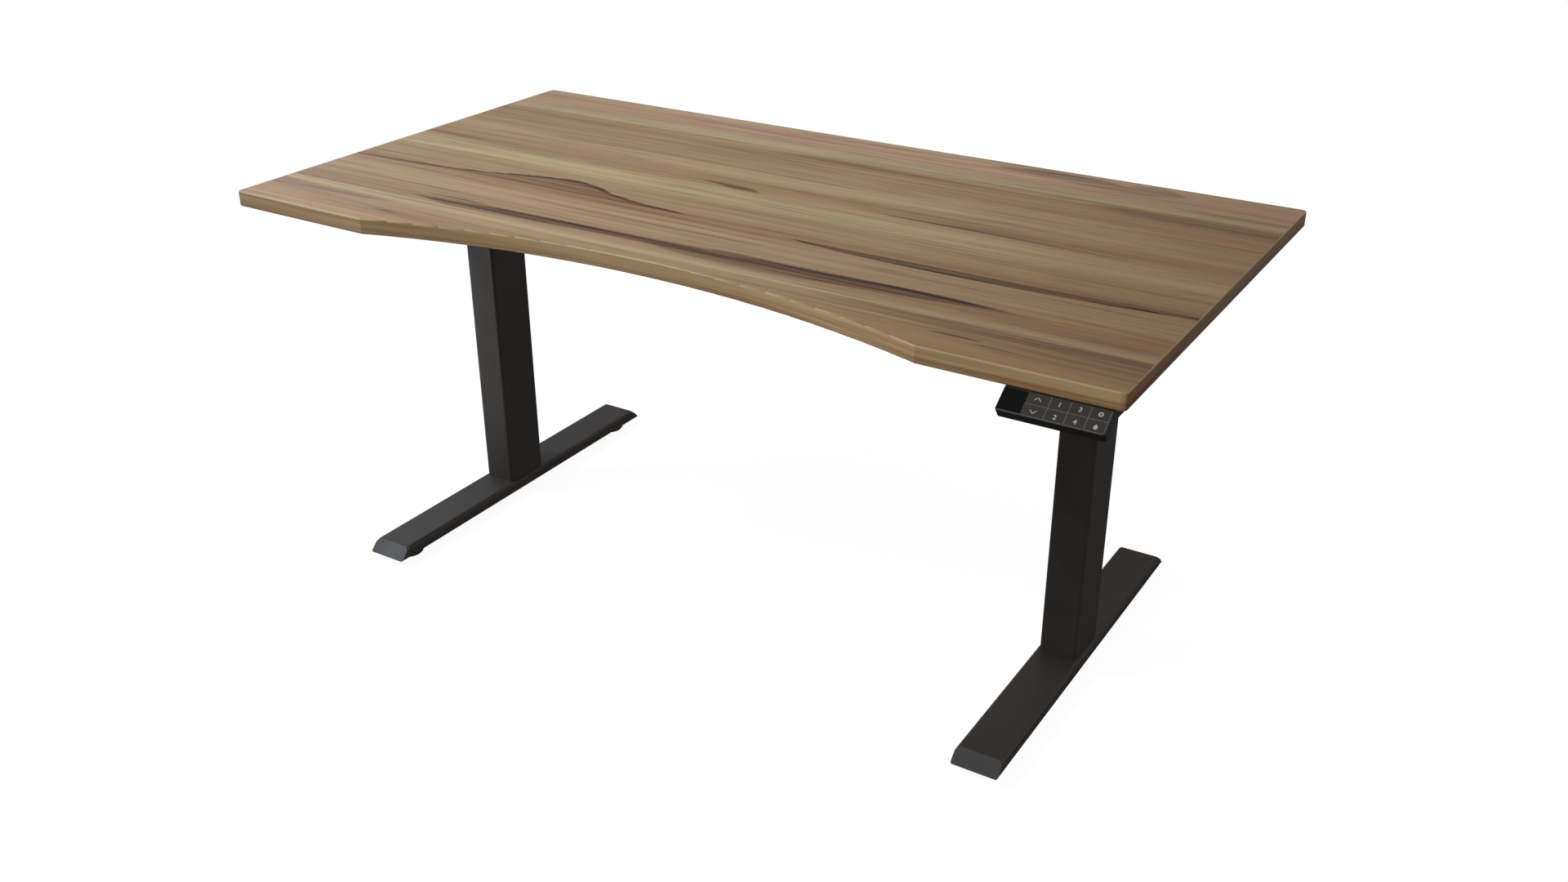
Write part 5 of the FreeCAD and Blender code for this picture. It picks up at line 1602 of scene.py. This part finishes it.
    def surroundings(self) -> None:
        """White to the camera, and a soft pale light that is whitest on the window side for gloss."""
        world = bpy.data.worlds.new("pale_surroundings")
        bpy.context.scene.world = world
        world.use_nodes = True
        tree = world.node_tree
        tree.nodes.clear()
        path = add_node(tree, "ShaderNodeLightPath").node
        glossy = path.outputs["Is Glossy Ray"]
        way = add_node(tree, "ShaderNodeSeparateXYZ", {0: add_node(tree, "ShaderNodeTexCoord")}).node
        height = way.outputs[2]
        low, high = self.ceiling_edge
        span = {0: height, 1: low, 2: high, 3: self.ambient * self.dim_side, 4: self.ceiling}
        upper = add_node(tree, "ShaderNodeMapRange", span, **EASED)
        strength = add_node(tree, "ShaderNodeMapRange", {0: glossy, 3: self.ambient, 4: upper})
        light = add_node(tree, "ShaderNodeBackground", {"Color": (1, 1, 1, 1), "Strength": strength})
        tones = {0: path.outputs["Is Camera Ray"], 6: linear(self.daylight), 7: (1, 1, 1, 1)}
        tint = add_node(tree, "ShaderNodeMix", tones, **BLEND)
        power = add_node(tree, "ShaderNodeMapRange", {0: glossy, 3: 1.0, 4: self.window_light})
        white = add_node(tree, "ShaderNodeBackground", {"Color": tint, "Strength": power})
        turn = {0: way.outputs[1], 1: way.outputs[0]}
        turn = add_node(tree, "ShaderNodeMath", turn, operation="ARCTAN2")
        turn = add_node(tree, "ShaderNodeMath", {0: turn}, operation="ABSOLUTE")
        low, high = self.window_edge
        window = add_node(tree, "ShaderNodeMapRange", {0: turn, 1: low, 2: high}, **EASED)
        low, high = self.lintel
        lintel = add_node(tree, "ShaderNodeMapRange", {0: height, 1: low, 2: high})
        window = add_node(tree, "ShaderNodeMath", {0: window, 1: lintel}, operation="MULTIPLY")
        whole = self.seen(tree, path, window)
        mixed = add_node(tree, "ShaderNodeMixShader", {0: whole, 1: light, 2: white})
        add_node(tree, "ShaderNodeOutputWorld", {"Surface": mixed})

    def lamp(
        self, name: str, kind: str, place: Triple, aim: Triple, watts: float, **settings: float
    ) -> None:
        """Adds a daylight lamp.

        Args:
            name: Name of the lamp.
            kind: Blender's kind of lamp.
            place: Where it stands.
            aim: Where it points.
            watts: Its power.
            **settings: Its size, and its cone where it has one.
        """
        light = bpy.data.lights.new(name, kind)
        light.energy = watts
        light.color = linear(self.daylight)[:3]
        for setting, value in settings.items():
            setattr(light, setting, value)
        lamp = bpy.data.objects.new(name, light)
        lamp.location = place
        lamp.rotation_euler = (Vector(aim) - Vector(place)).to_track_quat("-Z", "Y").to_euler()
        bpy.context.scene.collection.objects.link(lamp)


def main() -> None:
    """Builds the studio and every sub-assembly, in order."""
    logging.basicConfig(level=logging.INFO, format="%(message)s")
    Studio().build()
    for assembly in (Desktop(), Legs(), HeadFrame(), Controller(), Handset()):
        assembly.build()
        LOG.info("built %s", type(assembly).__name__)


if __name__ == "__main__":
    main()
